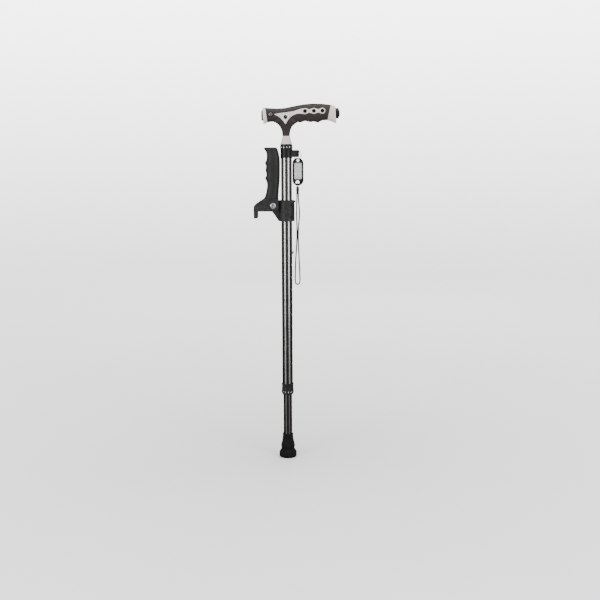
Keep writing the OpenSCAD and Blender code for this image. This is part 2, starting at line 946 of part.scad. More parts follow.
// Soft cover with finger bumps, leaning out at its top
module assist_grip() {
  color([0.15, 0.15, 0.16])
    difference() {
      loft([
        section_z(grip_base, -45.4, -16.6, 15),
        section_z(536, -43.2, -16.2, 14.6),
        section_z(541, -41.2, -15.8, 14),
        section_z(551, -39.2, -15.0, 13.4),
        section_z(559, -38.2, -14.3, 13.2),
        section_z(566, -39.4, -13.6, 13.2),
        section_z(572.4, -42.2, -13.2, 13.4),
        section_z(579.8, -39.8, -12.8, 13.4),
        section_z(588.7, -41.2, -12.7, 13.4),
        section_z(594.7, -40.8, -12.7, 13.4),
        section_z(602.1, -42.4, -12.6, 13.4),
        section_z(609.5, -39.4, -12.9, 13.2),
        section_z(617, -38.6, -14.0, 12.8),
        section_z(623, -39.6, -15.3, 12.4),
        section_z(628, -42.6, -16.6, 11.6),
        section_z(631.4, -45.0, -18.4, 9.8),
        section_z(632.8, -42.0, -21.6, 6.5)
      ]);
      translate([spine_x - 5.05, -6.05, grip_base - 5])
        cube([10.1, 12.1, 84.05]);
      translate([spine_x, 0, 600])
        cylinder(h = 60, r = 1.6);
      translate([spine_x, 0, 628])
        cylinder(h = 20, r = 3.2);
    }
}

module assist_grip_screw() {
  color([0.3, 0.3, 0.31])
    union() {
      translate([spine_x, 0, 604])
        cylinder(h = 24, r = 1.5);
      translate([spine_x, 0, 628])
        cylinder(h = 2, r = 3);
    }
}

module pivot_bolt() {
  color([0.9, 0.91, 0.93])
    union() {
      rod_y(-fork_half, fork_half + 2.6, pivot[0], pivot[1], pivot_r);
      translate([pivot[0], -fork_half, pivot[1]])
        rotate([90, 0, 0])
          rotate_extrude()
            polygon([[0, 0], [6, 0], [6, 1.4], [5, 2.6], [3, 3.3], [0, 3.5]]);
    }
}

module pivot_nut() {
  color([0.9, 0.91, 0.93])
    difference() {
      translate([pivot[0], fork_half, pivot[1]])
        rotate([-90, 0, 0])
          cylinder(h = 3, r = 5.6, $fn = 6);
      rod_y(0, 30, pivot[0], pivot[1], pivot_r + 0.02);
    }
}

module friction_washers() {
  color([0.75, 0.75, 0.77])
    for (from = [-tongue_half - cheek_gap, tongue_half + 0.05])
      difference() {
        rod_y(from, from + cheek_gap - 0.05, pivot[0], pivot[1], 8);
        rod_y(-20, 20, pivot[0], pivot[1], pivot_r + 0.02);
      }
}

// ---------------------------------------------------------------- ring, tag and strap

module split_ring() {
  middle = (ring_top + ring_bottom) / 2;
  color([0.82, 0.83, 0.85])
    translate([middle[0], 0, middle[1]])
      rotate([0, ring_tilt, 0])
        rotate([0, 0, ring_turn])
          rotate([90, 0, 0])
            rotate_extrude()
              translate([ring_r, 0])
                // Two turns of flattened wire side by side, with a fine groove between
                difference() {
                  square(2 * wire_half, center = true);
                  for (side = [-1, 1])
                    translate([side * wire_half, 0])
                      rotate(45)
                        square(0.14, center = true);
                }
}

// Outline of the tag: straight sides and half-round ends
module tag_outline() {
  for (z = tag_ends_z)
    translate([tag_x, z])
      circle(tag_end_r);
  translate([tag_x - tag_end_r, tag_ends_z[0]])
    square([2 * tag_end_r, tag_ends_z[1] - tag_ends_z[0]]);
}

// Outline of the tag's window and of the label behind it, with rounded corners
module window_outline() {
  translate([tag_x - 7.5, 572.7])
    square([15, 27.9]);
  translate([tag_x - 5.5, 570.7])
    square([11, 31.9]);
  for (x = [tag_x - 5.5, tag_x + 5.5])
    for (z = [572.7, 600.6])
      translate([x, z])
        circle(2);
}

module tag_frame() {
  color([0.14, 0.14, 0.15])
    difference() {
      plate_xz(-tag_t / 2, tag_t / 2)
        tag_outline();
      plate_xz(-5, 5)
        window_outline();
      rod_y(-5, 5, tag_x, tag_top_z, tag_hole_r);
      // The end round the top hole and the bar under the strap's hole are thinner
      for (side = [-1, 1])
        translate([tag_x - 12, side * (0.6 + 2) - 2, 604])
          cube([24, 4, 20]);
      for (side = [-1, 1])
        translate([loop_x - 4.5, side * (0.9 + 2) - 2, 550])
          cube([9, 4, 16]);
      plate_xz(-5, 5)
        intersection() {
          translate([loop_x, 564.5])
            circle(3.7);
          translate([loop_x - 5, 562.2])
            square([10, 10]);
        }
    }
}

module tag_label() {
  color([0.72, 0.73, 0.73])
    plate_xz(-0.2, 1)
      window_outline();
}

module tag_window() {
  color([0.9, 0.92, 0.95, 0.3])
    plate_xz(-1, -0.2)
      window_outline();
}

// Thin loop that ties the strap to the tag
module strap_loop() {
  color([0.1, 0.1, 0.1])
    translate([loop_x, 0, loop_z])
      union() {
        rotate([90, 0, 90])
          rotate_extrude(angle = 180)
            translate([loop_r, 0])
              circle(loop_wire_r, $fn = 24);
        for (y = [-loop_r, loop_r])
          translate([0, y, sleeve_top - loop_z])
            cylinder(h = loop_z - sleeve_top, r = loop_wire_r, $fn = 24);
      }
}

module cord_sleeve() {
  color([0.1, 0.1, 0.11])
    translate([loop_x, 0, 0])
      rotate_extrude()
        polygon([
          [0, sleeve_bottom], [2.8, sleeve_bottom], [2.8, 544.5], [2.95, 546],
          [2.95, 555.6], [2.8, sleeve_top], [0, sleeve_top]
        ]);
}

module wrist_cord() {
  color([0.1, 0.1, 0.1])
    loft(tube_sections(cord_route, cord_d / 2, 8, [0, 1, 0]));
}

// ---------------------------------------------------------------- nodes

tip();
tip_washer();
inner_tube();
inner_tube_cap();
snap_spring();
snap_button();
outer_tube();
collet();
lock_collar();
lock_collar_studs();
upper_collar();
upper_collar_studs();
ring_pin();
tube_pin();
handle_tang();
neck_ferrule();
grip_shell_front();
grip_shell_rear();
inlay_front();
inlay_rear();
grip_screws();
grip_screw_nuts();
front_cap();
rear_cap();
torch_bezel();
torch_lens();
torch_reflector();
led_module();
switch_board();
torch_button();
torch_button_spring();
battery_holder();
torch_batteries();
alarm_buzzer();
alarm_board();
alarm_spring();
alarm_button();
clamp_bracket();
clamp_back();
clamp_screws();
pivot_sleeve();
assist_core();
assist_grip();
assist_grip_screw();
pivot_bolt();
pivot_nut();
friction_washers();
split_ring();
tag_frame();
tag_label();
tag_window();
strap_loop();
cord_sleeve();
wrist_cord();
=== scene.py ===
import json
from math import cos, exp, pi, radians, sin, sqrt

import bmesh
import bpy
from mathutils import Matrix, Vector
from mathutils.bvhtree import BVHTree
from mathutils.geometry import delaunay_2d_cdt


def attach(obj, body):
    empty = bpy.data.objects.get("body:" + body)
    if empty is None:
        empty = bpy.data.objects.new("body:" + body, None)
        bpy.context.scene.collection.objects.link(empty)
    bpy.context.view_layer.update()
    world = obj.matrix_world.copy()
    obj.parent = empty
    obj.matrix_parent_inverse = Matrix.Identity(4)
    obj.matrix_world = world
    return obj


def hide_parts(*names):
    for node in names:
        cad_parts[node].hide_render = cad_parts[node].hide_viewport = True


# A walking cane: T grip with torch and alarm, folding grip, name tag, wrist strap, rubber tip.
# Lengths in the tables below are millimetres, as in the model's source; meshes are metres.

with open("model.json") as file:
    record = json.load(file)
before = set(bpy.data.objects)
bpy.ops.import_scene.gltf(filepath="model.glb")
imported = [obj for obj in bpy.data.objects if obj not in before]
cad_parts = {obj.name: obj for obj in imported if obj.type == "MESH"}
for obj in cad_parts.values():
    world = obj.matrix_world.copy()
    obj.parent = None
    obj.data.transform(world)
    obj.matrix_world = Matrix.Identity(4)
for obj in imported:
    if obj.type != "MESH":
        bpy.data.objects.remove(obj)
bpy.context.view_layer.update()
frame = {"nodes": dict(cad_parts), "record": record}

MM = 0.001

# Folding grip's pivot as (x, z), and half the width of its fork
PIVOT = (-26.5, 518.6)
FORK_HALF = 15.5

# Torch, alarm and grip screws, as heights or as (x, z)
TORCH_Z = 694.6
ALARM_Z = 697.9
TORCH_BUTTON = (-30.1, 695.6)
SCREWS = [(-1.2, 690.7), (36.8, 701.7), (54.0, 702.0), (70.8, 702.3)]

# Bar of the hand grip: its ends, and how far each end leans
BAR_FRONT = -39.2
BAR_REAR = 84.3
FRONT_LEAN = -0.154
REAR_LEAN = 0.21

# Studs round both collars, and the lock collar's dimple as (degrees off the front, height)
STUD_COUNT = 12
LOCK_STUD_Z = 138.6
COLLAR_STUD_Z = 632.5
DIMPLE = (10.6, 149.4)

# Chain of eyes on the inlay: half height at an eye, half height between two, reach of an eye
EYE_R = 5.7
PINCH = 3.5
EYE_REACH = 8.6

# ---------- camera, floor, light


def add(name, data):
    """A new object in the scene."""
    obj = bpy.data.objects.new(name, data)
    bpy.context.scene.collection.objects.link(obj)
    return obj


def make_camera():
    """Eye a little below the handle's height, 1.8 m away, looking slightly down."""
    data = bpy.data.cameras.new("camera")
    data.sensor_width = 36.0
    data.lens = 54.0
    data.shift_x = 0.0
    data.shift_y = 0.016
    camera = add("camera", data)
    camera.location = (0.0258, -1.8, 0.61)
    pitch = Matrix.Rotation(radians(90 - 9.5), 3, "X")
    roll = Matrix.Rotation(radians(-0.2), 3, "Z")
    camera.rotation_euler = (pitch @ roll).to_euler()
    bpy.context.scene.camera = camera


def area_light(name, place, target, size, power):
    """Rectangular soft box at a place, turned to face a target."""
    data = bpy.data.lights.new(name, "AREA")
    data.shape = "RECTANGLE"
    data.size, data.size_y = size
    data.energy = power
    light = add(name, data)
    light.location = place
    light.rotation_euler = (Vector(target) - Vector(place)).to_track_quat("-Z", "Y").to_euler()
    return light


def background(tree, colour, strength):
    """One even surround, as a shader output."""
    node = tree.nodes.new("ShaderNodeBackground")
    node.inputs["Color"].default_value = (*colour, 1)
    node.inputs["Strength"].default_value = strength
    return node.outputs[0]


WARM_WHITE = (1.0, 1.0, 0.985, 1)


def make_world():
    """A pale surround, dimmer where it is mirrored, as dark cards beside a tabletop would do."""
    pale = (0.97, 0.98, 1.0)
    even, mirrored_only = 1.45, 0.42
    horizon, upper, upper_climb = 3.3, 5.6, 0.17
    world = bpy.data.worlds.new("studio")
    bpy.context.scene.world = world
    world.use_nodes = True
    tree = world.node_tree
    tree.nodes.clear()
    ray = tree.nodes.new("ShaderNodeLightPath")
    seen = tree.nodes.new("ShaderNodeMixShader")
    mirrored = tree.nodes.new("ShaderNodeMixShader")
    out = tree.nodes.new("ShaderNodeOutputWorld")
    tree.links.new(ray.outputs["Is Glossy Ray"], mirrored.inputs[0])
    tree.links.new(background(tree, pale, even), mirrored.inputs[1])
    tree.links.new(background(tree, pale, mirrored_only), mirrored.inputs[2])
    tree.links.new(ray.outputs["Is Camera Ray"], seen.inputs[0])
    tree.links.new(mirrored.outputs[0], seen.inputs[1])
    # Seen directly, the surround grows brighter from the horizon upwards
    direction = tree.nodes.new("ShaderNodeTexCoord")
    axes = tree.nodes.new("ShaderNodeSeparateXYZ")
    climb = tree.nodes.new("ShaderNodeMapRange")
    for key, number in (("From Min", 0.0), ("From Max", upper_climb), ("To Min", horizon),
                        ("To Max", upper)):
        climb.inputs[key].default_value = number
    sky = tree.nodes.new("ShaderNodeBackground")
    sky.inputs["Color"].default_value = WARM_WHITE
    tree.links.new(direction.outputs["Generated"], axes.inputs[0])
    tree.links.new(axes.outputs["Z"], climb.inputs["Value"])
    tree.links.new(climb.outputs[0], sky.inputs["Strength"])
    tree.links.new(sky.outputs[0], seen.inputs[2])
    tree.links.new(seen.outputs[0], out.inputs["Surface"])


def make_studio():
    """Two tall soft boxes in front, one overhead and one behind, and a pale floor."""
    middle = (0, 0, 0.4)
    area_light("soft_left", (-1.75, -1.75, 0.9), middle, (0.8, 2.2), 44)
    area_light("soft_right", (1.75, -1.75, 0.9), middle, (0.8, 2.2), 38)
    area_light("soft_top", (0.1, -0.4, 2.4), middle, (1.8, 1.4), 34)
    area_light("soft_back", (0.4, 2.1, 1.6), middle, (1.6, 1.2), 22)
    make_world()
    make_floor()


def make_floor():
    """Pale floor: it glows softly to the camera, more with distance, and mirrors darker."""
    reach = 60.0
    half_glow_at, full_glow = 3.0, 2.45
    mirrored_grey = (0.16, 0.16, 0.16)
    mesh = bpy.data.meshes.new("floor")
    mesh.from_pydata(
        [(-reach, -reach, 0), (reach, -reach, 0), (reach, reach, 0), (-reach, reach, 0)],
        [],
        [(0, 1, 2, 3)],
    )
    floor = add("floor", mesh)
    paint = Paint("floor_paint", (0.65, 0.65, 0.64), 0.8, Specular_IOR_Level=0.2)
    paint.vary((0.68, 0.68, 0.675), 2.0, 0.4)
    paint.grain(300, 0.05, 0.0004)
    length = paint.nodes.new("ShaderNodeVectorMath")
    length.operation = "LENGTH"
    paint.tree.links.new(paint.place, length.inputs[0])
    distance = length.outputs["Value"]
    far = paint.math("DIVIDE", distance, paint.math("ADD", distance, half_glow_at))
    ray = paint.nodes.new("ShaderNodeLightPath")
    glow = paint.math("MULTIPLY", paint.math("MULTIPLY", far, full_glow),
                      ray.outputs["Is Camera Ray"])
    paint.blend_to(mirrored_grey, ray.outputs["Is Glossy Ray"])
    paint.set("Emission Color", WARM_WHITE)
    paint.wire(glow, "Emission Strength")
    floor.data.materials.append(paint.material)


# ---------- materials


class Paint:
    """A procedural material on one Principled shader, in object coordinates."""

    def __init__(self, name, colour, roughness, metallic=0.0, **constants):
        self.material = bpy.data.materials.new(name)
        self.material.use_nodes = True
        self.tree = self.material.node_tree
        self.nodes = self.tree.nodes
        self.shader = self.nodes["Principled BSDF"]
        self.place = self.nodes.new("ShaderNodeTexCoord").outputs["Object"]
        self.colour = self.rgb(colour)
        self.roughness = roughness
        self.heights = []
        self.set("Roughness", roughness)
        self.set("Metallic", metallic)
        for key, value in constants.items():
            self.set(key.replace("_", " "), value)
        self.wire(self.colour, "Base Color")

    def set(self, socket, value):
        self.shader.inputs[socket].default_value = value

    def wire(self, output, socket):
        self.tree.links.new(output, self.shader.inputs[socket])

    def rgb(self, colour):
        node = self.nodes.new("ShaderNodeRGB")
        node.outputs[0].default_value = (*colour, 1)
        return node.outputs[0]

    def stretched(self, scale):
        node = self.nodes.new("ShaderNodeMapping")
        node.inputs["Scale"].default_value = scale
        self.tree.links.new(self.place, node.inputs["Vector"])
        return node.outputs[0]

    def noise(self, scale, detail=3.0, stretch=None):
        node = self.nodes.new("ShaderNodeTexNoise")
        node.inputs["Scale"].default_value = scale
        node.inputs["Detail"].default_value = detail
        node.inputs["Roughness"].default_value = 0.5
        source = self.stretched(stretch) if stretch else self.place
        self.tree.links.new(source, node.inputs["Vector"])
        return node.outputs["Fac"]

    def cells(self, scale, feature="F1"):
        node = self.nodes.new("ShaderNodeTexVoronoi")
        node.feature = feature
        node.inputs["Scale"].default_value = scale
        self.tree.links.new(self.place, node.inputs["Vector"])
        return node.outputs["Distance"]

    def remap(self, value, low, high, to_low=0.0, to_high=1.0):
        node = self.nodes.new("ShaderNodeMapRange")
        node.clamp = True
        for key, number in zip(
            ("From Min", "From Max", "To Min", "To Max"), (low, high, to_low, to_high)
        ):
            node.inputs[key].default_value = number
        self.tree.links.new(value, node.inputs["Value"])
        return node.outputs[0]

    def math(self, operation, first, second=None):
        node = self.nodes.new("ShaderNodeMath")
        node.operation = operation
        for socket, value in zip(node.inputs, (first, second)):
            if value is None:
                continue
            if isinstance(value, (int, float)):
                socket.default_value = value
            else:
                self.tree.links.new(value, socket)
        return node.outputs[0]

    def blend_to(self, colour, factor):
        """Blends the base colour so far towards another one by a factor."""
        node = self.nodes.new("ShaderNodeMix")
        node.data_type = "RGBA"
        self.tree.links.new(factor, node.inputs["Factor"])
        self.tree.links.new(self.colour, node.inputs["A"])
        self.tree.links.new(self.rgb(colour), node.inputs["B"])
        self.colour = node.outputs["Result"]
        self.wire(self.colour, "Base Color")

    def vary(self, colour, scale, spread=0.35, stretch=None):
        """Slow drift of the colour between the base and a second one."""
        drift = self.noise(scale, 4.0, stretch)
        self.blend_to(colour, self.remap(drift, 0.5 - spread / 2, 0.5 + spread / 2))

    def wear(self, colour, amount=0.5):
        """Edges rubbed paler, by the mesh's own pointiness."""
        edge = self.nodes.new("ShaderNodeNewGeometry").outputs["Pointiness"]
        rubbed = self.remap(edge, 0.53, 0.60, 0.0, amount)
        patches = self.remap(self.noise(180, 4), 0.35, 0.65)
        self.blend_to(colour, self.math("MULTIPLY", rubbed, patches))

    def uneven_gloss(self, scale, spread, stretch=None):
        fine = self.noise(scale, 5.0, stretch)
        low, high = self.roughness - spread, self.roughness + spread
        self.wire(self.remap(fine, 0.3, 0.7, low, high), "Roughness")

    def bump(self, height, strength, distance):
        node = self.nodes.new("ShaderNodeBump")
        node.inputs["Strength"].default_value = strength
        node.inputs["Distance"].default_value = distance
        self.tree.links.new(height, node.inputs["Height"])
        if self.heights:
            self.tree.links.new(self.heights[-1], node.inputs["Normal"])
        self.heights.append(node.outputs[0])
        self.wire(node.outputs[0], "Normal")

    def grain(self, scale, strength, distance, stretch=None):
        self.bump(self.noise(scale, 3.0, stretch), strength, distance)


def plastic(name, colour, second, roughness, grain=900, strength=0.25, edge=None, coat=0.0,
            shine=0.2):
    """Moulded plastic with a fine grain, and paler edges where edge gives their colour."""
    paint = Paint(name, colour, roughness, Specular_IOR_Level=shine, Coat_Weight=coat,
                  Coat_Roughness=0.25)
    paint.vary(second, 45)
    if edge:
        paint.wear(edge, 0.45)
    paint.uneven_gloss(260, 0.07)
    paint.grain(grain, strength, 0.00012)
    return paint.material


def rubber(name, colour, second, roughness=0.72, shine=0.1):
    """Soft matt rubber with a pebbled skin."""
    paint = Paint(name, colour, roughness, Specular_IOR_Level=shine)
    paint.vary(second, 60)
    paint.uneven_gloss(150, 0.08)
    paint.bump(paint.cells(1400), 0.25, 0.00012)
    paint.grain(320, 0.12, 0.0003)
    return paint.material


def steel(name, colour, roughness, stretch=(1, 1, 0.04), strength=0.08):
    """Metal with fine lines drawn along one axis."""
    paint = Paint(name, colour, roughness, 1.0)
    paint.vary(tuple(c * 0.82 for c in colour), 120, 0.5, stretch)
    paint.uneven_gloss(900, 0.06, stretch)
    paint.grain(1600, strength, 0.00005, stretch)
    return paint.material


def grooved_tube(name, crest_tone_and_highlight, groove_tone_and_shade, roughness):
    """Anodised tube. Its lengthways grooves are dark as two-tone paint and as painted shade. The
    lobes that face front and back carry a painted reflection of the front lamps, and the side
    lobes stay dark as painted shade.
    """
    along = (1, 1, 0.05)
    drawn = (1, 1, 0.03)
    lobe_count = 8.0
    paint = Paint(name, groove_tone_and_shade, roughness, 1.0, Specular_Tint=(0.15, 0.15, 0.15, 1))
    axes = paint.nodes.new("ShaderNodeSeparateXYZ")
    paint.tree.links.new(paint.place, axes.inputs[0])
    turn = paint.math("ARCTAN2", axes.outputs["Y"], axes.outputs["X"])
    lobes = paint.math("COSINE", paint.math("MULTIPLY", turn, lobe_count))
    # Painted reflection: only the lobes that face front and back are bright, and the side lobes
    # keep the dark colour as painted shade
    facing = paint.math("ABSOLUTE", paint.math("SINE", turn))
    crest_tone_and_highlight_mask = paint.math("MULTIPLY", paint.remap(lobes, -0.1, -0.55),
                            paint.remap(facing, 0.6, 0.75))
    # The bright colour is partly the lobes' own lighter tone and partly a painted reflection of
    # the lamps in front
    paint.blend_to(crest_tone_and_highlight, crest_tone_and_highlight_mask)
    drift = paint.remap(paint.noise(90, 4, along), 0.35, 0.65, 0.0, 0.25)
    paint.blend_to(tuple(c * 0.6 for c in groove_tone_and_shade), drift)
    paint.uneven_gloss(700, 0.05, drawn)
    paint.grain(1500, 0.06, 0.00005, drawn)
    return paint.material


def clear(name, tint, roughness):
    """Moulded clear plastic, as in a lens."""
    paint = Paint(name, tint, roughness, IOR=1.49, Transmission_Weight=0.95)
    paint.vary(tuple(c * 0.97 for c in tint), 60)
    paint.grain(500, 0.04, 0.0001)
    return paint.material


def film(name, tint, roughness):
    """Thin clear window, seen straight through but for its gloss."""
    paint = Paint(name, tint, roughness, Alpha=0.16, Coat_Weight=0.5, Coat_Roughness=0.05)
    paint.vary(tuple(c * 0.97 for c in tint), 60)
    paint.grain(300, 0.05, 0.0002)
    return paint.material


def braid(name, colour, second):
    """Cord's plaited surface; V of the UV map runs along it in metres, U once round it."""
    radians_per_metre = 900
    strands_round = 4 * pi
    paint = Paint(name, colour, 0.8, Specular_IOR_Level=0.1)
    map_node = paint.nodes.new("ShaderNodeTexCoord")
    axes = paint.nodes.new("ShaderNodeSeparateXYZ")
    paint.tree.links.new(map_node.outputs["UV"], axes.inputs[0])
    around = paint.math("MULTIPLY", axes.outputs["X"], strands_round)
    along = paint.math("MULTIPLY", axes.outputs["Y"], radians_per_metre)
    left = paint.math("SINE", paint.math("ADD", around, along))
    right = paint.math("SINE", paint.math("SUBTRACT", around, along))
    strands = paint.math("MULTIPLY", left, right)
    paint.blend_to(second, paint.remap(strands, -0.4, 0.6))
    paint.bump(strands, 0.6, 0.00025)
    paint.grain(2500, 0.2, 0.0001)
    return paint.material


def board_paint(name):
    """Green circuit board with paler tracks."""
    paint = Paint(name, (0.03, 0.20, 0.09), 0.35, Coat_Weight=0.3, Coat_Roughness=0.2)
    tracks = paint.remap(paint.cells(700, "DISTANCE_TO_EDGE"), 0.02, 0.06)
    paint.blend_to((0.05, 0.32, 0.15), tracks)
    paint.grain(800, 0.1, 0.0001)
    return paint.material


def card_paint(name):
    """Blank label card with faint ruled lines."""
    line_pitch = 0.0052
    paint = Paint(name, (0.40, 0.395, 0.39), 0.85)
    paint.vary((0.34, 0.335, 0.33), 150)
    axes = paint.nodes.new("ShaderNodeSeparateXYZ")
    paint.tree.links.new(paint.place, axes.inputs[0])
    rows = paint.math("SINE", paint.math("MULTIPLY", axes.outputs["Z"], 2 * pi / line_pitch))
    paint.blend_to((0.24, 0.24, 0.24), paint.remap(rows, 0.93, 0.98, 0.0, 0.7))
    paint.grain(1200, 0.2, 0.00006)
    return paint.material


LOOKS = {
    "rubber_black": rubber("rubber_black", (0.003, 0.003, 0.0028), (0.0055, 0.0055, 0.005)),
    "grip_soft": rubber("grip_soft", (0.0105, 0.0102, 0.0105), (0.014, 0.0137, 0.014), 0.52,
                        0.2),
    # Tubes: the first colour is a painted reflection on the front and back lobes; the second is
    # the groove tone, also painted shade on the side lobes
    "tube_dark": grooved_tube("tube_dark", (0.42, 0.415, 0.41), (0.035, 0.033, 0.031), 0.25),
    "tube_light": grooved_tube("tube_light", (0.20, 0.195, 0.185), (0.030, 0.028, 0.026), 0.3),
    "steel": steel("steel", (0.60, 0.60, 0.61), 0.32),
    "plastic_black": plastic("plastic_black", (0.0055, 0.0055, 0.0056), (0.009, 0.009, 0.0092),
                             0.38, 700, 0.15, (0.03, 0.03, 0.03)),
    "plastic_charcoal": plastic("plastic_charcoal", (0.0093, 0.0089, 0.0090),
                                (0.0108, 0.0103, 0.0105), 0.5, 1100, 0.4,
                                (0.035, 0.035, 0.035)),
    "nylon_white": plastic("nylon_white", (0.74, 0.74, 0.70), (0.70, 0.70, 0.66), 0.45),
    "bright_studs": steel("bright_studs", (0.62, 0.62, 0.63), 0.2, (1, 1, 1), 0.02),
    "trim_grey": plastic("trim_grey", (0.56, 0.515, 0.485), (0.51, 0.47, 0.445), 0.42, 800,
                         0.12, (0.60, 0.58, 0.56), 0.1, 0.35),
    "grip_brown": plastic("grip_brown", (0.0195, 0.0145, 0.0137), (0.027, 0.0212, 0.0202), 0.5,
                          1300, 0.5, (0.06, 0.052, 0.05)),
    "screw_dark": steel("screw_dark", (0.030, 0.028, 0.027), 0.4, (1, 1, 1), 0.05),
    "bezel": steel("bezel", (0.05, 0.05, 0.052), 0.25, (0.1, 1, 1), 0.05),
    "lens": clear("lens", (0.96, 0.98, 1.0), 0.03),
    "reflector": steel("reflector", (0.95, 0.95, 0.96), 0.05, (1, 1, 1), 0.01),
    "board": board_paint("board"),
    "button_pink": steel("button_pink", (0.40, 0.32, 0.335), 0.25, (1, 1, 1), 0.02),
    "cells": plastic("cells", (0.05, 0.09, 0.28), (0.04, 0.07, 0.22), 0.3, 500, 0.03, None,
                     0.4),
    "knob_black": plastic("knob_black", (0.005, 0.005, 0.0052), (0.008, 0.008, 0.0083), 0.34,
                          800, 0.1, (0.03, 0.03, 0.03)),
    "bronze": steel("bronze", (0.55, 0.40, 0.20), 0.4, (1, 0.1, 1)),
    "chrome": steel("chrome", (0.74, 0.74, 0.76), 0.14, (1, 1, 1), 0.02),
    "ring_steel": steel("ring_steel", (0.30, 0.30, 0.31), 0.22, (1, 1, 1), 0.03),
    "tag_black": plastic("tag_black", (0.004, 0.004, 0.0042), (0.005, 0.005, 0.0054), 0.3,
                         600, 0.08, (0.03, 0.03, 0.03), 0.0),
    "tag_paper": card_paint("tag_paper"),
    "tag_clear": film("tag_clear", (0.95, 0.96, 0.98), 0.08),
    "cord_black": braid("cord_black", (0.002, 0.002, 0.002), (0.006, 0.006, 0.006)),
}

# ---------- mesh helpers


def finish_piece(obj, body, slot, replaced=(), smooth=True):
    """Gives a new piece its body, its finish and the CAD nodes that it stands for."""
    if smooth:
        for face in obj.data.polygons:
            face.use_smooth = True
    obj.data.materials.clear()
    obj.data.materials.append(LOOKS[slot])
    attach(obj, body)
    if replaced:
        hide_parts(*replaced)
    return obj


def modifier(obj, kind, **settings):
    """Adds a modifier and sets its options."""
    made = obj.modifiers.new(kind.lower(), kind)
    for key, value in settings.items():
        setattr(made, key, value)
    return made


def apply_modifiers(obj):
    """Turns the piece's modifiers into its mesh."""
    graph = bpy.context.evaluated_depsgraph_get()
    baked = bpy.data.meshes.new_from_object(obj.evaluated_get(graph))
    obj.modifiers.clear()
    obj.data = baked


def from_bmesh(name, bm):
    """Turns a bmesh into an object, with its faces turned outwards."""
    bmesh.ops.recalc_face_normals(bm, faces=bm.faces)
    mesh = bpy.data.meshes.new(name)
    bm.to_mesh(mesh)
    bm.free()
    return add(name, mesh)


def skin(bm, rows, caps=True):
    """Quads through rows with the same number of vertices, closed at the ends by caps."""
    count = len(rows[0])
    for a, b in zip(rows, rows[1:]):
        for j in range(count):
            k = (j + 1) % count
            bm.faces.new((a[j], a[k], b[k], b[j]))
    if caps:
        bm.faces.new(rows[0])
        bm.faces.new(rows[-1])


def rings_to_bmesh(rings, caps=True):
    """Skin through rings of points in millimetres."""
    bm = bmesh.new()
    skin(bm, [[bm.verts.new(Vector(p) * MM) for p in ring] for ring in rings], caps)
    return bm


def rounded(points, radius):
    """A polyline with its inner corners rounded off."""
    steps = 4
    result = [points[0]]
    for before, corner, after in zip(points, points[1:], points[2:]):
        c = Vector(corner)
        to_before, to_after = Vector(before) - c, Vector(after) - c
        reach = min(radius, 0.45 * to_before.length, 0.45 * to_after.length)
        start = c + to_before.normalized() * reach
        end = c + to_after.normalized() * reach
        for i in range(steps + 1):
            t = i / steps
            result.append(tuple((1 - t) ** 2 * start + 2 * t * (1 - t) * c + t * t * end))
    result.append(points[-1])
    return result


def spin(name, profile, steps=64, axis="Z", centre=(0, 0, 0), corner=0.5):
    """Lathe work: profile is (radius, height) along the axis, corners rounded."""
    smooth = rounded(profile, corner) if corner else list(profile)
    bm = bmesh.new()
    rows = []
    for r, h in smooth:
        if r < 1e-6:
            rows.append([bm.verts.new((0, 0, h * MM))])
            continue
        rows.append([
            bm.verts.new((r * cos(2 * pi * i / steps) * MM, r * sin(2 * pi * i / steps) * MM,
                          h * MM))
            for i in range(steps)
        ])
    for a, b in zip(rows, rows[1:]):
        for i in range(steps):
            k = (i + 1) % steps
            if len(a) == 1 and len(b) == 1:
                break
            if len(a) == 1:
                bm.faces.new((a[0], b[i], b[k]))
            elif len(b) == 1:
                bm.faces.new((a[i], b[0], a[k]))
            else:
                bm.faces.new((a[i], a[k], b[k], b[i]))
    turn = {
        "Z": Matrix.Identity(4),
        "X": Matrix.Rotation(pi / 2, 4, "Y"),
        "-Y": Matrix.Rotation(pi / 2, 4, "X"),
        "Y": Matrix.Rotation(-pi / 2, 4, "X"),
    }[axis]
    bmesh.ops.transform(bm, matrix=Matrix.Translation(Vector(centre) * MM) @ turn,
                        verts=bm.verts)
    return from_bmesh(name, bm)


def spline_value(knots, x):
    """Smooth curve through (x, value, ...) knots, by Catmull-Rom with uneven spacing."""
    if x <= knots[0][0]:
        return list(knots[0][1:])
    if x >= knots[-1][0]:
        return list(knots[-1][1:])
    i = max(k for k in range(len(knots) - 1) if knots[k][0] <= x)
    a, b = knots[i], knots[i + 1]
    before = knots[max(i - 1, 0)]
    after = knots[min(i + 2, len(knots) - 1)]
    span = b[0] - a[0]
    t = (x - a[0]) / span
    values = []
    for n in range(1, len(a)):
        slope_a = (b[n] - before[n]) / (b[0] - before[0]) * span
        slope_b = (after[n] - a[n]) / (after[0] - a[0]) * span
        values.append(
            (2 * t**3 - 3 * t**2 + 1) * a[n]
            + (t**3 - 2 * t**2 + t) * slope_a
            + (3 * t**2 - 2 * t**3) * b[n]
            + (t**3 - t**2) * slope_b
        )
    return values


def signed_power(value, power):
    """Power of a number's size, with the number's own sign."""
    return (1 if value >= 0 else -1) * abs(value) ** power


def oval(count, first, second, power):
    """Points of a rounded rectangle or ellipse, as pairs of reaches."""
    pairs = []
    for i in range(count):
        turn = 2 * pi * i / count
        pairs.append((first * signed_power(cos(turn), 2 / power),
                      second * signed_power(sin(turn), 2 / power)))
    return pairs


def level_ring(knots, at, z, sides, power, pull=0.0):
    """Level section at height z; the knots give its left and right edges and half width."""
    left, right, half = spline_value(knots, at)
    middle, reach = (left + right) / 2, (right - left) / 2
    return [(middle + x, y, z) for x, y in oval(sides, reach - pull, half - pull, power)]


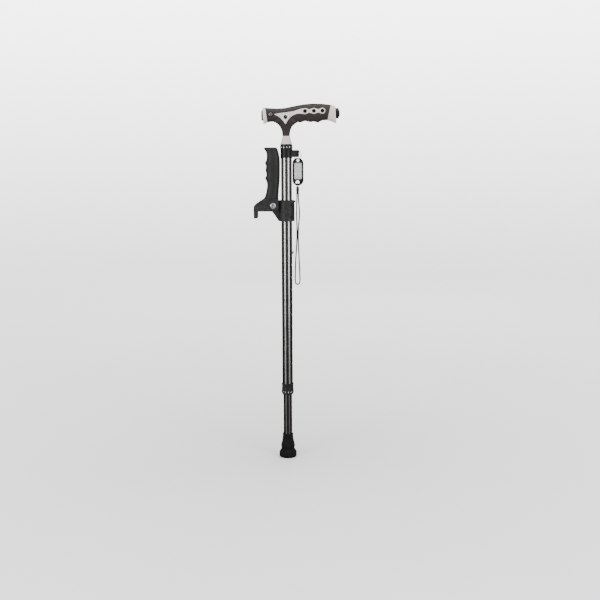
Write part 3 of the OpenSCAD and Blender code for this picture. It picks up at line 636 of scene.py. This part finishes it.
def tube_rings(path, radius, sides, up):
    """Rings round a path; up is a direction that the path never takes."""
    rings = []
    for i, point in enumerate(path):
        before, after = path[max(i - 1, 0)], path[min(i + 1, len(path) - 1)]
        along = (Vector(after) - Vector(before)).normalized()
        side = Vector(up) - Vector(up).dot(along) * along
        side.normalize()
        other = along.cross(side)
        rings.append([
            Vector(point) + radius * (cos(2 * pi * j / sides) * side
                                      + sin(2 * pi * j / sides) * other)
            for j in range(sides)
        ])
    return rings


def smooth_path(points, steps):
    """Catmull-Rom curve through 3-D points."""
    pts = [Vector(p) for p in points]
    result = []
    for i in range(len(pts) - 1):
        p0, p1, p2 = pts[max(i - 1, 0)], pts[i], pts[i + 1]
        p3 = pts[min(i + 2, len(pts) - 1)]
        for s in range(steps):
            t = s / steps
            result.append(0.5 * (2 * p1 + (p2 - p0) * t
                                 + (2 * p0 - 5 * p1 + 4 * p2 - p3) * t * t
                                 + (3 * p1 - p0 - 3 * p2 + p3) * t**3))
    result.append(pts[-1])
    return result


# ---------- wrist cord

CORD_ROUTE = [
    (20.5, 0, 541), (20.5, 0, 535), (20.3, 0, 528), (20, 0, 519), (19.8, 0, 510),
    (19.8, 0, 500), (20, 0, 490), (20.3, 0, 479), (20.5, 0, 468), (20.4, 0, 457),
    (20, 0, 446), (19.2, 0, 434), (18.3, 0, 421), (17.4, 0, 407), (16.8, 0, 393),
    (16.5, 0, 380), (16.4, 0, 371), (16.8, 0, 365), (18.2, 0, 362), (21.2, 0, 360.6),
    (24.2, 0, 362), (25.6, 0, 365), (26, 0, 371), (25.8, 0, 380), (25.3, 0, 393),
    (24.6, 0, 407), (24, 0, 421), (23.4, 0, 434), (22.9, 0, 446), (22.8, 0, 457),
    (23, 0, 468), (23.7, 0, 479), (24.6, 0, 490), (25.3, 0, 500), (25.2, 0, 510),
    (24.5, 0, 519), (23.8, 0, 528), (23.4, 0, 535), (23.3, 0, 541),
]
CORD_R = 1.3
SLEEVE_X = 21.9


def cord_mesh(name, path, radius):
    """Tube along a path with a UV map for its braid."""
    sides = 10
    bm = rings_to_bmesh(tube_rings(path, radius, sides, (0, 1, 0)))
    layer = bm.loops.layers.uv.new("braid")
    lengths = [0.0]
    for a, b in zip(path, path[1:]):
        lengths.append(lengths[-1] + (Vector(b) - Vector(a)).length * MM)
    bm.verts.index_update()
    for face in bm.faces:
        around = [loop.vert.index % sides for loop in face.loops]
        wraps = max(around) - min(around) > 1
        for loop, side in zip(face.loops, around):
            turn = side + (sides if wraps and side == 0 else 0)
            row = min(loop.vert.index // sides, len(lengths) - 1)
            loop[layer].uv = (turn / sides, lengths[row])
    return from_bmesh(name, bm)


def make_wrist_cord(sleeve):
    """One loop of cord that hangs from the sleeve, with both of its ends in it."""
    path = smooth_path(CORD_ROUTE, 4)
    cord = cord_mesh("braided_wrist_cord", path, CORD_R)
    finish_piece(cord, "wrist_strap", "cord_black", ["wrist_cord"])


def make_cord_sleeve():
    """Moulded sleeve with three shallow rings, where the loop's two ends go in."""
    sleeve = spin("strap_sleeve", [
        (0, 541), (2.8, 541), (2.8, 542.4), (2.5, 542.8), (2.5, 543.4), (2.85, 543.8),
        (2.85, 544.6), (2.5, 545), (2.5, 545.6), (2.95, 546.4), (2.95, 553.5), (2.7, 554),
        (2.7, 554.6), (2.95, 555), (2.8, 556.4), (0, 556.4),
    ], 32, centre=(SLEEVE_X, 0, 0), corner=0.3)
    return finish_piece(sleeve, "wrist_strap", "plastic_black", ["cord_sleeve"])


make_camera()
make_wrist_cord(make_cord_sleeve())
make_studio()

# ---------- lower shaft


def make_tip():
    """Rubber ferrule with a flared foot and ringed treads in its sole."""
    tip = spin("rubber_tip", [
        (0, 0), (6, 0), (6, 2), (8, 2), (8, 0), (11, 0), (11, 2), (13, 2), (13, 0),
        (16.4, 0), (17.9, 1.6), (17.9, 10.6), (16.6, 12.6), (14.6, 15.2), (13.3, 18.1),
        (14.0, 20.4), (14.6, 23.4), (14.0, 26.4), (13.0, 30.2), (12.1, 34.4),
        (11.3, 39.0), (10.75, 43.6), (10.8, 46.6), (11.0, 47.2), (11.0, 49.0),
        (10.5, 49.5), (9.0, 49.5), (9.0, 46),
    ], 72, corner=1.1)
    return finish_piece(tip, "lower_shaft", "rubber_black", ["tip"])


def oval_stud(bm, angle, z, levels, rise):
    """One upright oval gem, standing out from the axis at an angle."""
    out = Vector((cos(angle), sin(angle), 0))
    side = Vector((-sin(angle), cos(angle), 0))
    up = Vector((0, 0, 1))
    sides = 16
    rows = []
    for reach, half in levels:
        row = []
        for j in range(sides):
            turn = 2 * pi * (j + 0.5) / sides
            lift = half * sin(turn) + (rise if sin(turn) > 0 else -rise)
            row.append(bm.verts.new(
                (out * reach + side * half * cos(turn) + up * (z + lift)) * MM))
        rows.append(row)
    skin(bm, rows)


def make_studs(name, node, body, z, turn, inner, outer):
    """Bright oval studs set round a collar, with domed tops."""
    bm = bmesh.new()
    levels = [(inner, 1.2), (outer - 0.5, 1.2), (outer - 0.2, 1.02), (outer - 0.05, 0.7),
              (outer, 0.3)]
    for i in range(STUD_COUNT):
        oval_stud(bm, radians(turn - 90 + 360 * i / STUD_COUNT), z, levels, 0.6)
    studs = from_bmesh(name, bm)
    return finish_piece(studs, body, "bright_studs", [node])


def cut(obj, cutter):
    """Takes the cutter's shape out of a piece."""
    modifier(obj, "BOOLEAN", object=cutter, operation="DIFFERENCE", solver="EXACT",
             use_self=True)
    apply_modifiers(obj)
    bpy.data.objects.remove(cutter)


def make_lock_collar():
    """Collar with a conical foot, a groove, a bulge and a top flange, and a dimple in front."""
    collar = spin("lock_sleeve", [
        (9.3, 133), (10.6, 133), (11.4, 134.6), (12.35, 136.4), (12.4, 141), (11.8, 142.0),
        (11.8, 143.0), (12.3, 144.4), (12.1, 145.6), (11.8, 146.8), (11.8, 153.2),
        (12.3, 153.9), (12.3, 155.9), (11.8, 156.6), (10.9, 156.6), (10.9, 152),
    ], 80, corner=0.6)
    turn = radians(DIMPLE[0] - 90)
    out = Vector((cos(turn), sin(turn), 0))
    drill = spin("dimple_cutter", [
        (0, -0.55), (1.2, -0.5), (2.0, -0.3), (2.5, 0.2), (2.5, 3), (0, 3),
    ], 32, "X", corner=0.2)
    drill.data.transform(Matrix.Translation((out * 11.8 + Vector((0, 0, DIMPLE[1]))) * MM)
                         @ Matrix.Rotation(turn, 4, "Z"))
    cut(collar, drill)
    return finish_piece(collar, "lock_ring", "plastic_black", ["lock_collar"])


make_tip()
make_lock_collar()
make_studs("lock_gems", "lock_collar_studs", "lock_ring", LOCK_STUD_Z, 7, 11.1, 12.85)

# ---------- hand grip

# Top edge of the bar, its bottom edge, and the neck's edges, as (along, value, ...)
BAR_TOP = [(-40, 709.1), (-33, 708.4), (-20.6, 707.7), (-10.7, 707.9), (-0.7, 708.9),
           (9.2, 710.8), (22.8, 713.5), (37.8, 715.8), (47.8, 716.6), (59, 716.7),
           (70.2, 716.2), (80.1, 715.0), (90, 713.2)]
BAR_BOTTOM = [(-40, 680.8), (-33, 681.6), (-20.6, 682.6), (0, 683), (14, 682.6),
              (22.8, 681.4), (29, 680.7), (35.3, 683.1), (41.5, 682.5), (47.8, 681.0),
              (54, 682.2), (61.5, 680.2), (67.0, 682.4), (72.7, 684.5), (81.2, 684.8),
              (90, 684.6)]
NECK = [(654.7, -7.5, 6.9, 7.3), (659.5, -7.9, 7.3, 7.9), (665, -8.9, 8.4, 9.2),
        (669.5, -10.6, 9.9, 10.8), (673.5, -13, 12.5, 12), (677.5, -16.9, 16.9, 12.7),
        (680.2, -20.8, 21.2, 13.0), (682.0, -25.5, 23.8, 13.2), (686, -27, 25, 13.3),
        (692, -27, 25, 13.3)]


BAR_HALF = [(-40, 12.6), (-33, 13.1), (-20, 13.5), (0, 13.8), (10, 14), (76, 14), (90, 13.4)]


def bar_ring(x, lean):
    """Section across the bar at x, leaning with the bar's end."""
    top, bottom = spline_value(BAR_TOP, x)[0], spline_value(BAR_BOTTOM, x)[0]
    half = spline_value(BAR_HALF, x)[0]
    middle, rise = (top + bottom) / 2, (top - bottom) / 2
    return [(x + lean * z, y, middle + z) for y, z in oval(64, half, rise, 2.6)]


def make_hand_grip():
    """T-shaped grip, as one solid: bar and neck fused, then smoothed."""
    bar_pitch, neck_pitch = 1.3, 1.2
    leans = [(BAR_FRONT, FRONT_LEAN), (-26, 0), (66, 0), (BAR_REAR, REAR_LEAN)]
    rings = []
    for i in range(95):
        x = BAR_FRONT + i * bar_pitch
        rings.append(bar_ring(x, spline_value(leans, x)[0]))
    rings.append(bar_ring(BAR_REAR, REAR_LEAN))
    bar = rings_to_bmesh(rings)
    neck_rings = []
    for i in range(32):
        z = NECK[0][0] + i * neck_pitch
        neck_rings.append(level_ring(NECK, z, z, 64, 2.4))
    neck = from_bmesh("neck_blank", rings_to_bmesh(neck_rings))
    grip = from_bmesh("hand_grip_blank", bar)
    modifier(grip, "BOOLEAN", object=neck, operation="UNION", solver="EXACT")
    apply_modifiers(grip)
    bpy.data.objects.remove(neck)
    modifier(grip, "REMESH", mode="VOXEL", voxel_size=0.0007)
    modifier(grip, "SMOOTH", factor=0.5, iterations=7)
    apply_modifiers(grip)
    return grip


def half_of(blank, name, side):
    """One half of the grip, cut just short of the middle so that a seam shows."""
    bm = bmesh.new()
    bm.from_mesh(blank.data)
    gap = 0.00012
    geom = bm.verts[:] + bm.edges[:] + bm.faces[:]
    sliced = bmesh.ops.bisect_plane(bm, geom=geom, plane_co=(0, side * gap, 0),
                                    plane_no=(0, -side, 0), clear_outer=True)
    rim = [e for e in sliced["geom_cut"] if isinstance(e, bmesh.types.BMEdge)]
    bmesh.ops.holes_fill(bm, edges=rim)
    return from_bmesh(name, bm)


GRIP = make_hand_grip()
GRIP_SURFACE = BVHTree.FromPolygons(
    [v.co.copy() for v in GRIP.data.vertices],
    [tuple(p.vertices) for p in GRIP.data.polygons],
)


def bore(grip, name, radius, start, end, axis, centre):
    """Drills a round hole in the grip from start to end along an axis."""
    profile = [(0, start), (radius, start), (radius, end), (0, end)]
    cut(grip, spin(name, profile, 48, axis, centre, 0))


def open_bores(grip):
    """Opens the grip where the torch's button and the alarm knob's stem slide in it."""
    x, z = TORCH_BUTTON
    bore(grip, "torch_bore", 4, 7, 20, "-Y", (x, 0, z))
    bore(grip, "alarm_bore", 2.5, 79, 95, "X", (0, 0, ALARM_Z))


open_bores(GRIP)
for part, side, node in (("hand_grip_front", -1, "grip_shell_front"),
                         ("hand_grip_rear", 1, "grip_shell_rear")):
    finish_piece(half_of(GRIP, part, side), "upper_shaft", "grip_brown", [node])
bpy.data.objects.remove(GRIP)

# Edges of the inlay, from its left tip to the first eye and back by way of its lower point
INLAY_TOP = [(-21.9, 696.5), (-15, 697.8), (-8.4, 698.5), (3.1, 699.7), (14.1, 701.7),
             (22, 704.1), (27.4, 705.7), (31.8, 706.7)]
INLAY_RIGHT = [(30.2, 696.4), (24, 696.6), (19, 695.9), (14.1, 693.8), (9, 690.4),
               (4.5, 685.7), (1.6, 681.2), (-1, 676.4)]
INLAY_LEFT = [(-1, 676.4), (-4.5, 681.2), (-8, 685.6), (-11.9, 689.4), (-17, 692.8),
              (-21.6, 694.5)]


def flat_curve(points):
    """Smooth curve through points in a plane."""
    return [tuple(p)[:2] for p in smooth_path([(*p, 0) for p in points], 4)]


def chain_height(x):
    """Middle and half height of the chain of eyes at x."""
    first, second, third = SCREWS[1:]
    middle = spline_value([first, second, third], x)[0]
    near = min(abs(x - eye[0]) for eye in (first, second, third))
    return middle, PINCH + (EYE_R - PINCH) * cos(min(near / EYE_REACH, 1.0) * pi / 2) ** 2


def inlay_loop():
    """Outline of the inlay: three arms, then a chain of three eyes with a round end."""
    last_x, last_z = SCREWS[3]
    stations = [SCREWS[1][0] - 1 + i * 1.0 for i in range(int(last_x - SCREWS[1][0]) + 2)]
    top = [(x, sum(chain_height(x))) for x in stations]
    under = [(x, chain_height(x)[0] - chain_height(x)[1]) for x in reversed(stations)]
    end = [
        (last_x + EYE_R * cos(radians(a)), last_z + EYE_R * sin(radians(a)))
        for a in range(80, -81, -10)
    ]
    tip = [(-22.4, 695.2), (-22.5, 695.9)]
    return (flat_curve(INLAY_TOP) + top + end + under + flat_curve(INLAY_RIGHT)[:-1]
            + flat_curve(INLAY_LEFT) + tip)


def rim_lift(x, z):
    """The moulded ring that stands up round each screw."""
    height, ring_r, half_width = 0.35, 4.6, 0.7
    near = min(sqrt((x - sx) ** 2 + (z - sz) ** 2) for sx, sz in SCREWS)
    return height * exp(-(((near - ring_r) / half_width) ** 2))


def plate_on_grip(name, loop, side, proud):
    """Thin moulded plate that follows the grip's surface, with softly rounded edges."""
    edge_round, pitch = 0.9, 0.8
    edge_pitch, shortest_edge = 0.7, 0.25
    sunk, back_depth = 0.25, 0.9
    clear_of_edge = 1.2
    dense = []
    for a, b in zip(loop, loop[1:] + loop[:1]):
        a, b = Vector(a), Vector(b)
        parts = max(1, round((b - a).length / edge_pitch))
        dense += [a.lerp(b, i / parts) for i in range(parts)]
    kept = [dense[0]]
    for p in dense[1:]:
        if (p - kept[-1]).length > shortest_edge:
            kept.append(p)
    edges = [(i, (i + 1) % len(kept)) for i in range(len(kept))]

    def inside(p):
        crossings = 0
        for i, j in edges:
            (x1, z1), (x2, z2) = kept[i], kept[j]
            if (z1 > p[1]) != (z2 > p[1]) and p[0] < (x2 - x1) * (p[1] - z1) / (z2 - z1) + x1:
                crossings += 1
        return crossings % 2 == 1

    def to_edge(p):
        best = float("inf")
        for i, j in edges:
            a, b = kept[i], kept[j]
            run = b - a
            t = min(max((p - a).dot(run) / run.length_squared, 0), 1)
            best = min(best, (a + run * t - p).length)
        return best

    points = list(kept)
    low_x, high_x = min(p[0] for p in kept), max(p[0] for p in kept)
    low_z, high_z = min(p[1] for p in kept), max(p[1] for p in kept)
    for ring_offset in (0.3, 0.8):
        for i, j in edges:
            a, b = kept[i], kept[j]
            normal = Vector((-(b - a)[1], (b - a)[0])).normalized()
            for sign in (1, -1):
                p = (a + b) / 2 + normal * sign * ring_offset
                if inside(p) and to_edge(p) > ring_offset * 0.85:
                    points.append(p)
    x = low_x
    while x < high_x:
        z = low_z
        while z < high_z:
            p = Vector((x, z))
            if inside(p) and to_edge(p) > clear_of_edge:
                points.append(p)
            z += pitch
        x += pitch
    made = delaunay_2d_cdt(points, edges, [list(range(len(kept)))], 1, 1e-5)
    bm = bmesh.new()
    front, back = [], []
    for p in made[0]:
        x, z = p
        start = Vector((x, side * 60, z)) * MM
        hit = GRIP_SURFACE.ray_cast(start, Vector((0, -side, 0)))[0]
        surface = hit.y / MM if hit else side * 12.0
        depth = min(to_edge(Vector((x, z))) / edge_round, 1.0)
        lift = -sunk + (proud + sunk) * sqrt(max(0.0, 1 - (1 - depth) ** 2))
        lift += rim_lift(x, z) * depth
        front.append(bm.verts.new(Vector((x, surface + side * lift, z)) * MM))
        back.append(bm.verts.new(Vector((x, surface - side * back_depth, z)) * MM))
    rims = {}
    for face in made[2]:
        bm.faces.new([front[i] for i in face])
        bm.faces.new([back[i] for i in reversed(face)])
        for a, b in zip(face, face[1:] + face[:1]):
            key = tuple(sorted((a, b)))
            rims[key] = rims.get(key, 0) + 1
    for (a, b), uses in rims.items():
        if uses == 1:
            bm.faces.new((front[a], front[b], back[b], back[a]))
    return from_bmesh(name, bm)


for part, side, node in (("inlay_plate_front", -1, "inlay_front"),
                         ("inlay_plate_rear", 1, "inlay_rear")):
    plate = plate_on_grip(part, inlay_loop(), side, 0.55)
    finish_piece(plate, "upper_shaft", "trim_grey", [node])


def surface_y(x, z, side):
    """Where the grip's surface lies at (x, z), on the front (-1) or the rear (1)."""
    hit = GRIP_SURFACE.ray_cast(Vector((x, side * 60, z)) * MM, Vector((0, -side, 0)))[0]
    return hit.y / MM


def make_screw_heads(name, node, side):
    """Dark dished heads with a hexagon socket."""
    heads = []
    for i, (x, z) in enumerate(SCREWS):
        seat = surface_y(x, z, side)
        axis = "Y" if side > 0 else "-Y"
        head = spin(f"{name}_{i}", [
            (0, -1.2), (3.6, -1.2), (3.75, 0.8), (3.5, 1.3), (3.1, 1.45), (2.6, 1.3),
            (0, 1.25),
        ], 40, axis, (x, seat, z), corner=0.2)
        socket = spin("socket_cutter", [(0, 0.7), (1.75, 0.7), (1.75, 3), (0, 3)], 6, axis,
                      (x, seat, z), corner=0)
        cut(head, socket)
        heads.append(head)
    return join(name, heads, "upper_shaft", "screw_dark", node, 0.08)


def join(name, objects, body, slot, node, bevel):
    """One piece from several turned ones, with its sharp edges bevelled."""
    bm = bmesh.new()
    for obj in objects:
        bm.from_mesh(obj.data)
        bpy.data.objects.remove(obj)
    joined = from_bmesh(name, bm)
    finish_piece(joined, body, slot, [node])
    joined.data.set_sharp_from_angle(angle=radians(35))
    modifier(joined, "BEVEL", width=bevel * MM, segments=2, limit_method="ANGLE")
    return joined


make_screw_heads("screw_heads_front", "grip_screws", -1)
make_screw_heads("screw_heads_rear", "grip_screw_nuts", 1)


def make_cap(name, node, stations, bore_r, bore_z, depth, outward):
    """Flared end piece of the bar with a round bore.

    Stations are (x, bottom, top, half width, lean) and run from the bar outwards.
    """
    rings = [[(x + lean * z, y, (top + bottom) / 2 + z)
              for y, z in oval(64, half, (top - bottom) / 2, 2.5)]
             for x, bottom, top, half, lean in stations]
    end_x = stations[-1][0]
    for reach, radius_add in ((0.0, 1.0), (0.0, 0.4), (-0.4, 0.0), (-depth, 0.0)):
        x = end_x + outward * reach
        rings.append([(x, y, bore_z + z) for y, z in oval(64, bore_r + radius_add,
                                                          bore_r + radius_add, 2)])
    cap = from_bmesh(name, rings_to_bmesh(rings, caps=False))
    return finish_piece(cap, "upper_shaft", "trim_grey", [node])


make_cap("bezel_cap", "front_cap", [
    (-38.6, 681.2, 709.0, 12.4, FRONT_LEAN), (-39.3, 680.8, 709.3, 12.8, FRONT_LEAN),
    (-40.6, 680.0, 709.4, 13.2, -0.13), (-42.6, 678.9, 709.5, 13.6, -0.1),
    (-44.3, 678.0, 709.6, 13.9, -0.06), (-44.9, 678.1, 709.3, 13.8, -0.05),
    (-45.2, 678.8, 708.6, 13.2, -0.04),
], 10.5, TORCH_Z, 5.5, -1)
make_cap("knob_cap", "rear_cap", [
    (83.6, 684.9, 713.9, 13.3, REAR_LEAN), (84.6, 684.4, 714.1, 13.8, REAR_LEAN),
    (88.5, 683.2, 713.6, 14.0, 0.12), (92.5, 681.0, 713.0, 14.4, 0.0),
    (95.0, 679.2, 712.5, 14.7, -0.08), (95.9, 679.1, 712.3, 14.7, -0.09),
    (96.4, 680.0, 711.4, 14.0, -0.1),
], 10.4, ALARM_Z, 6.5, 1)


def make_knob():
    """Domed alarm button with one fine groove round its rim."""
    knob = spin("alarm_knob_cap", [
        (0, 83), (2.2, 83), (2.2, 89.8), (10.3, 89.8), (10.3, 98.4), (10.05, 98.7),
        (10.05, 99.2), (10.35, 99.5), (10.35, 101.7), (9.9, 102.4), (8.2, 102.6),
        (7.4, 103.2), (5.4, 104.2), (2.8, 104.8), (0, 105),
    ], 64, "X", (0, 0, ALARM_Z), 0.6)
    return finish_piece(knob, "alarm_knob", "knob_black", ["alarm_button"])


def make_torch_button():
    """Push button with a domed top, in its own shallow rim."""
    seat = surface_y(*TORCH_BUTTON, -1)
    x, z = TORCH_BUTTON
    top = 14.9
    button = spin("torch_push", [
        (3.7, 8.8), (3.7, top - 0.9), (3.3, top - 0.25), (2.2, top), (0, top),
    ], 48, "-Y", (x, 0, z), 0.4)
    finish_piece(button, "torch_switch", "button_pink", ["torch_button"])
    rim = spin("torch_push_rim", [
        (3.8, -0.6), (3.8, 0.25), (4.0, 0.4), (4.5, 0.4), (4.8, 0.2), (4.9, -0.6),
    ], 48, "-Y", (x, seat, z), 0.15)
    finish_piece(rim, "upper_shaft", "knob_black")


make_knob()
make_torch_button()

# ---------- neck and upper collar


def make_ferrule():
    """Grey cone between the grip's neck and the collar."""
    ferrule = spin("neck_cone", [
        (5.3, 638.6), (10.7, 638.6), (11.2, 639.2), (10.95, 641.1), (9.95, 644.1),
        (9.0, 646.9), (8.05, 650.4), (7.45, 653.0), (7.3, 654.7), (5.3, 654.7),
    ], 72, corner=0.9)
    return finish_piece(ferrule, "upper_shaft", "trim_grey", ["neck_ferrule"])


def make_upper_collar():
    """Black collar with a stepped top band; its lug is made of the three slabs below."""
    collar = spin("collar_sleeve", [
        (10.85, 613), (10.85, 612), (11.3, 612), (11.65, 612.5), (11.65, 627.4), (12, 628),
        (12, 637.6), (11.5, 638.55), (10.4, 638.55),
    ], 80, corner=0.5)
    return finish_piece(collar, "upper_shaft", "plastic_black", ["upper_collar"])


def slab(name, outline, low, high):
    """Plate of the upper collar's lug, in X and Z between two y values, with bevelled edges."""
    bm = bmesh.new()
    bottom = [bm.verts.new(Vector((x, low, z)) * MM) for x, z in outline]
    face = bm.faces.new(bottom)
    made = bmesh.ops.extrude_face_region(bm, geom=[face])
    moved = [g for g in made["geom"] if isinstance(g, bmesh.types.BMVert)]
    bmesh.ops.translate(bm, vec=Vector((0, high - low, 0)) * MM, verts=moved)
    plate = from_bmesh(name, bm)
    finish_piece(plate, "upper_shaft", "plastic_black", smooth=False)
    modifier(plate, "BEVEL", width=0.35 * MM, segments=3, limit_method="ANGLE",
             angle_limit=radians(40))
    return plate


make_ferrule()
make_upper_collar()
make_studs("collar_gems", "upper_collar_studs", "upper_shaft", COLLAR_STUD_Z, 4.3, 11.1, 12.6)

# The lug is a fork: two cheeks and the web between them, at their root
LUG_HALF = 8.7
LUG_GAP = 7.2
CHEEK = [(8.6, 613.6), (23.7, 613.6), (25.2, 615.1), (25.2, 625.9), (23.7, 627.4),
         (8.6, 627.4)]
WEB = [(9.0, 613.7), (13.2, 613.7), (13.2, 627.3), (9.0, 627.3)]
slab("lug_cheek_front", CHEEK, -LUG_HALF, -LUG_GAP)
slab("lug_cheek_rear", CHEEK, LUG_GAP, LUG_HALF)
slab("lug_web", WEB, -LUG_GAP - 0.1, LUG_GAP + 0.1)


def make_split_ring():
    """Two turns of flattened wire, as a helix in the ring's own plane."""
    top, bottom = Vector((21.4, 0, 626.7)), Vector((22.7, 0, 608.2))
    wire_r, turn_pitch, widened = 0.3, 0.3, 0.9
    face_turn, wire_end = radians(-42), radians(200)
    middle = (top + bottom) / 2
    radius = (top - bottom).length / 2
    up = (top - bottom).normalized()
    flat = Vector((cos(face_turn), sin(face_turn), 0))
    across = (flat - flat.dot(up) * up).normalized()
    normal = across.cross(up)
    steps = 72
    path = []
    for i in range(2 * steps + 1):
        turn = 2 * pi * i / steps + wire_end
        offset = turn_pitch * (i / steps - 1)
        path.append(middle + radius * (cos(turn) * across + sin(turn) * up)
                    + normal * offset)
    bm = rings_to_bmesh(tube_rings(path, wire_r, 10, normal))
    for vert in bm.verts:
        away = vert.co / MM - middle
        away -= away.dot(normal) * normal
        vert.co = vert.co + (away.normalized() * (away.length - radius) * widened) * MM
    ring = from_bmesh("split_ring_coil", bm)
    return finish_piece(ring, "key_ring", "ring_steel", ["split_ring"])


make_split_ring()

# ---------- folding grip

# Soft cover, as (height, outer edge, inner edge, half width)
ASSIST = [
    (533, -45.2, -16.7, 14.9), (536, -43.3, -16.3, 14.5), (541, -41.4, -15.9, 14.0),
    (551, -39.3, -15.1, 13.4), (559, -38.4, -14.4, 13.2), (566, -39.3, -13.7, 13.2),
    (569.6, -40.9, -13.5, 13.3), (572.4, -42.4, -13.3, 13.4), (575.2, -41.0, -13.1, 13.4),
    (579.8, -39.8, -12.9, 13.4), (588.7, -41.3, -12.8, 13.4), (594.7, -40.4, -12.8, 13.4),
    (599.2, -41.0, -12.7, 13.4), (602.1, -42.6, -12.7, 13.4), (605, -41.0, -12.8, 13.3),
    (609.5, -39.4, -13.0, 13.2),
    (617, -38.7, -14.1, 12.8), (623, -39.7, -15.4, 12.4), (628, -42.6, -16.7, 11.6),
    (631.2, -44.9, -18.2, 10.2),
]


def make_assist_grip():
    """Soft cover with finger bumps; its top flares outwards to a lip."""
    bottom_z, last_z, pitch = ASSIST[0][0], ASSIST[-1][0], 1.2
    rings = []
    for i in range(82):
        z = bottom_z + i * pitch
        rings.append(level_ring(ASSIST, z, z, 56, 2.5))
    for z, pull in ((631.6, 0.4), (632.3, 1.4), (632.7, 3.0), (632.8, 5.5)):
        rings.append(level_ring(ASSIST, last_z, z, 56, 2.4, pull))
    grip = from_bmesh("assist_cover", rings_to_bmesh(rings))
    return finish_piece(grip, "folding_grip", "grip_soft", ["assist_grip"])


def make_pivot_head():
    """Chrome bolt head: a hexagon with a chamfered rim, on a flange, with a socket in it."""
    rows = []
    # Each row is its height off the fork, its radius, and how round it is (0 is a hexagon)
    for h, r, roundness in ((0.0, 6.0, 1), (0.55, 6.0, 1), (0.8, 5.8, 1), (0.9, 5.5, 0),
                            (2.6, 5.5, 0), (3.2, 4.9, 0.7), (3.45, 4.2, 1), (3.45, 2.6, 1),
                            (3.1, 2.3, 1), (3.0, 1.2, 1)):
        row = []
        for i in range(48):
            turn = 2 * pi * i / 48
            hexagon = cos(pi / 6) / cos((turn % (pi / 3)) - pi / 6)
            reach = r * (roundness + (1 - roundness) * hexagon)
            row.append((PIVOT[0] + reach * cos(turn), -FORK_HALF - h,
                        PIVOT[1] + reach * sin(turn)))
        rows.append(row)
    head = from_bmesh("pivot_head_blank", rings_to_bmesh(rows))
    socket = spin("socket_cutter", [(0, 1.2), (2.3, 1.2), (2.3, 6), (0, 6)], 6, "-Y",
                  (PIVOT[0], -FORK_HALF, PIVOT[1]), corner=0)
    cut(head, socket)
    shank = spin("pivot_shank", [(0, -18.1), (2.5, -18.1), (3, -17.5), (3, FORK_HALF + 0.1),
                                 (0, FORK_HALF + 0.1)],
                 48, "-Y", (PIVOT[0], 0, PIVOT[1]), corner=0)
    join("pivot_bolt_forged", [head, shank], "folding_grip", "chrome", "pivot_bolt", 0.12)


make_assist_grip()
make_pivot_head()

# ---------- carried CAD nodes

SLOTS = {entry["node"]: entry["material_slot"] for entry in frame["record"]["subparts"]}
BEVELS = {
    "clamp_bracket": 0.6, "clamp_back": 0.6, "assist_core": 0.9, "tag_frame": 0.45,
    "torch_bezel": 0.25, "snap_button": 0.15, "clamp_screws": 0.2,
}


def dress_cad_nodes():
    """Gives every CAD node that still shows its finish and soft edges."""
    for name, obj in frame["nodes"].items():
        obj.data.materials.clear()
        obj.data.materials.append(LOOKS[SLOTS[name]])
        if name in BEVELS:
            modifier(obj, "BEVEL", width=BEVELS[name] * MM, segments=3,
                     limit_method="ANGLE", angle_limit=radians(35))


dress_cad_nodes()
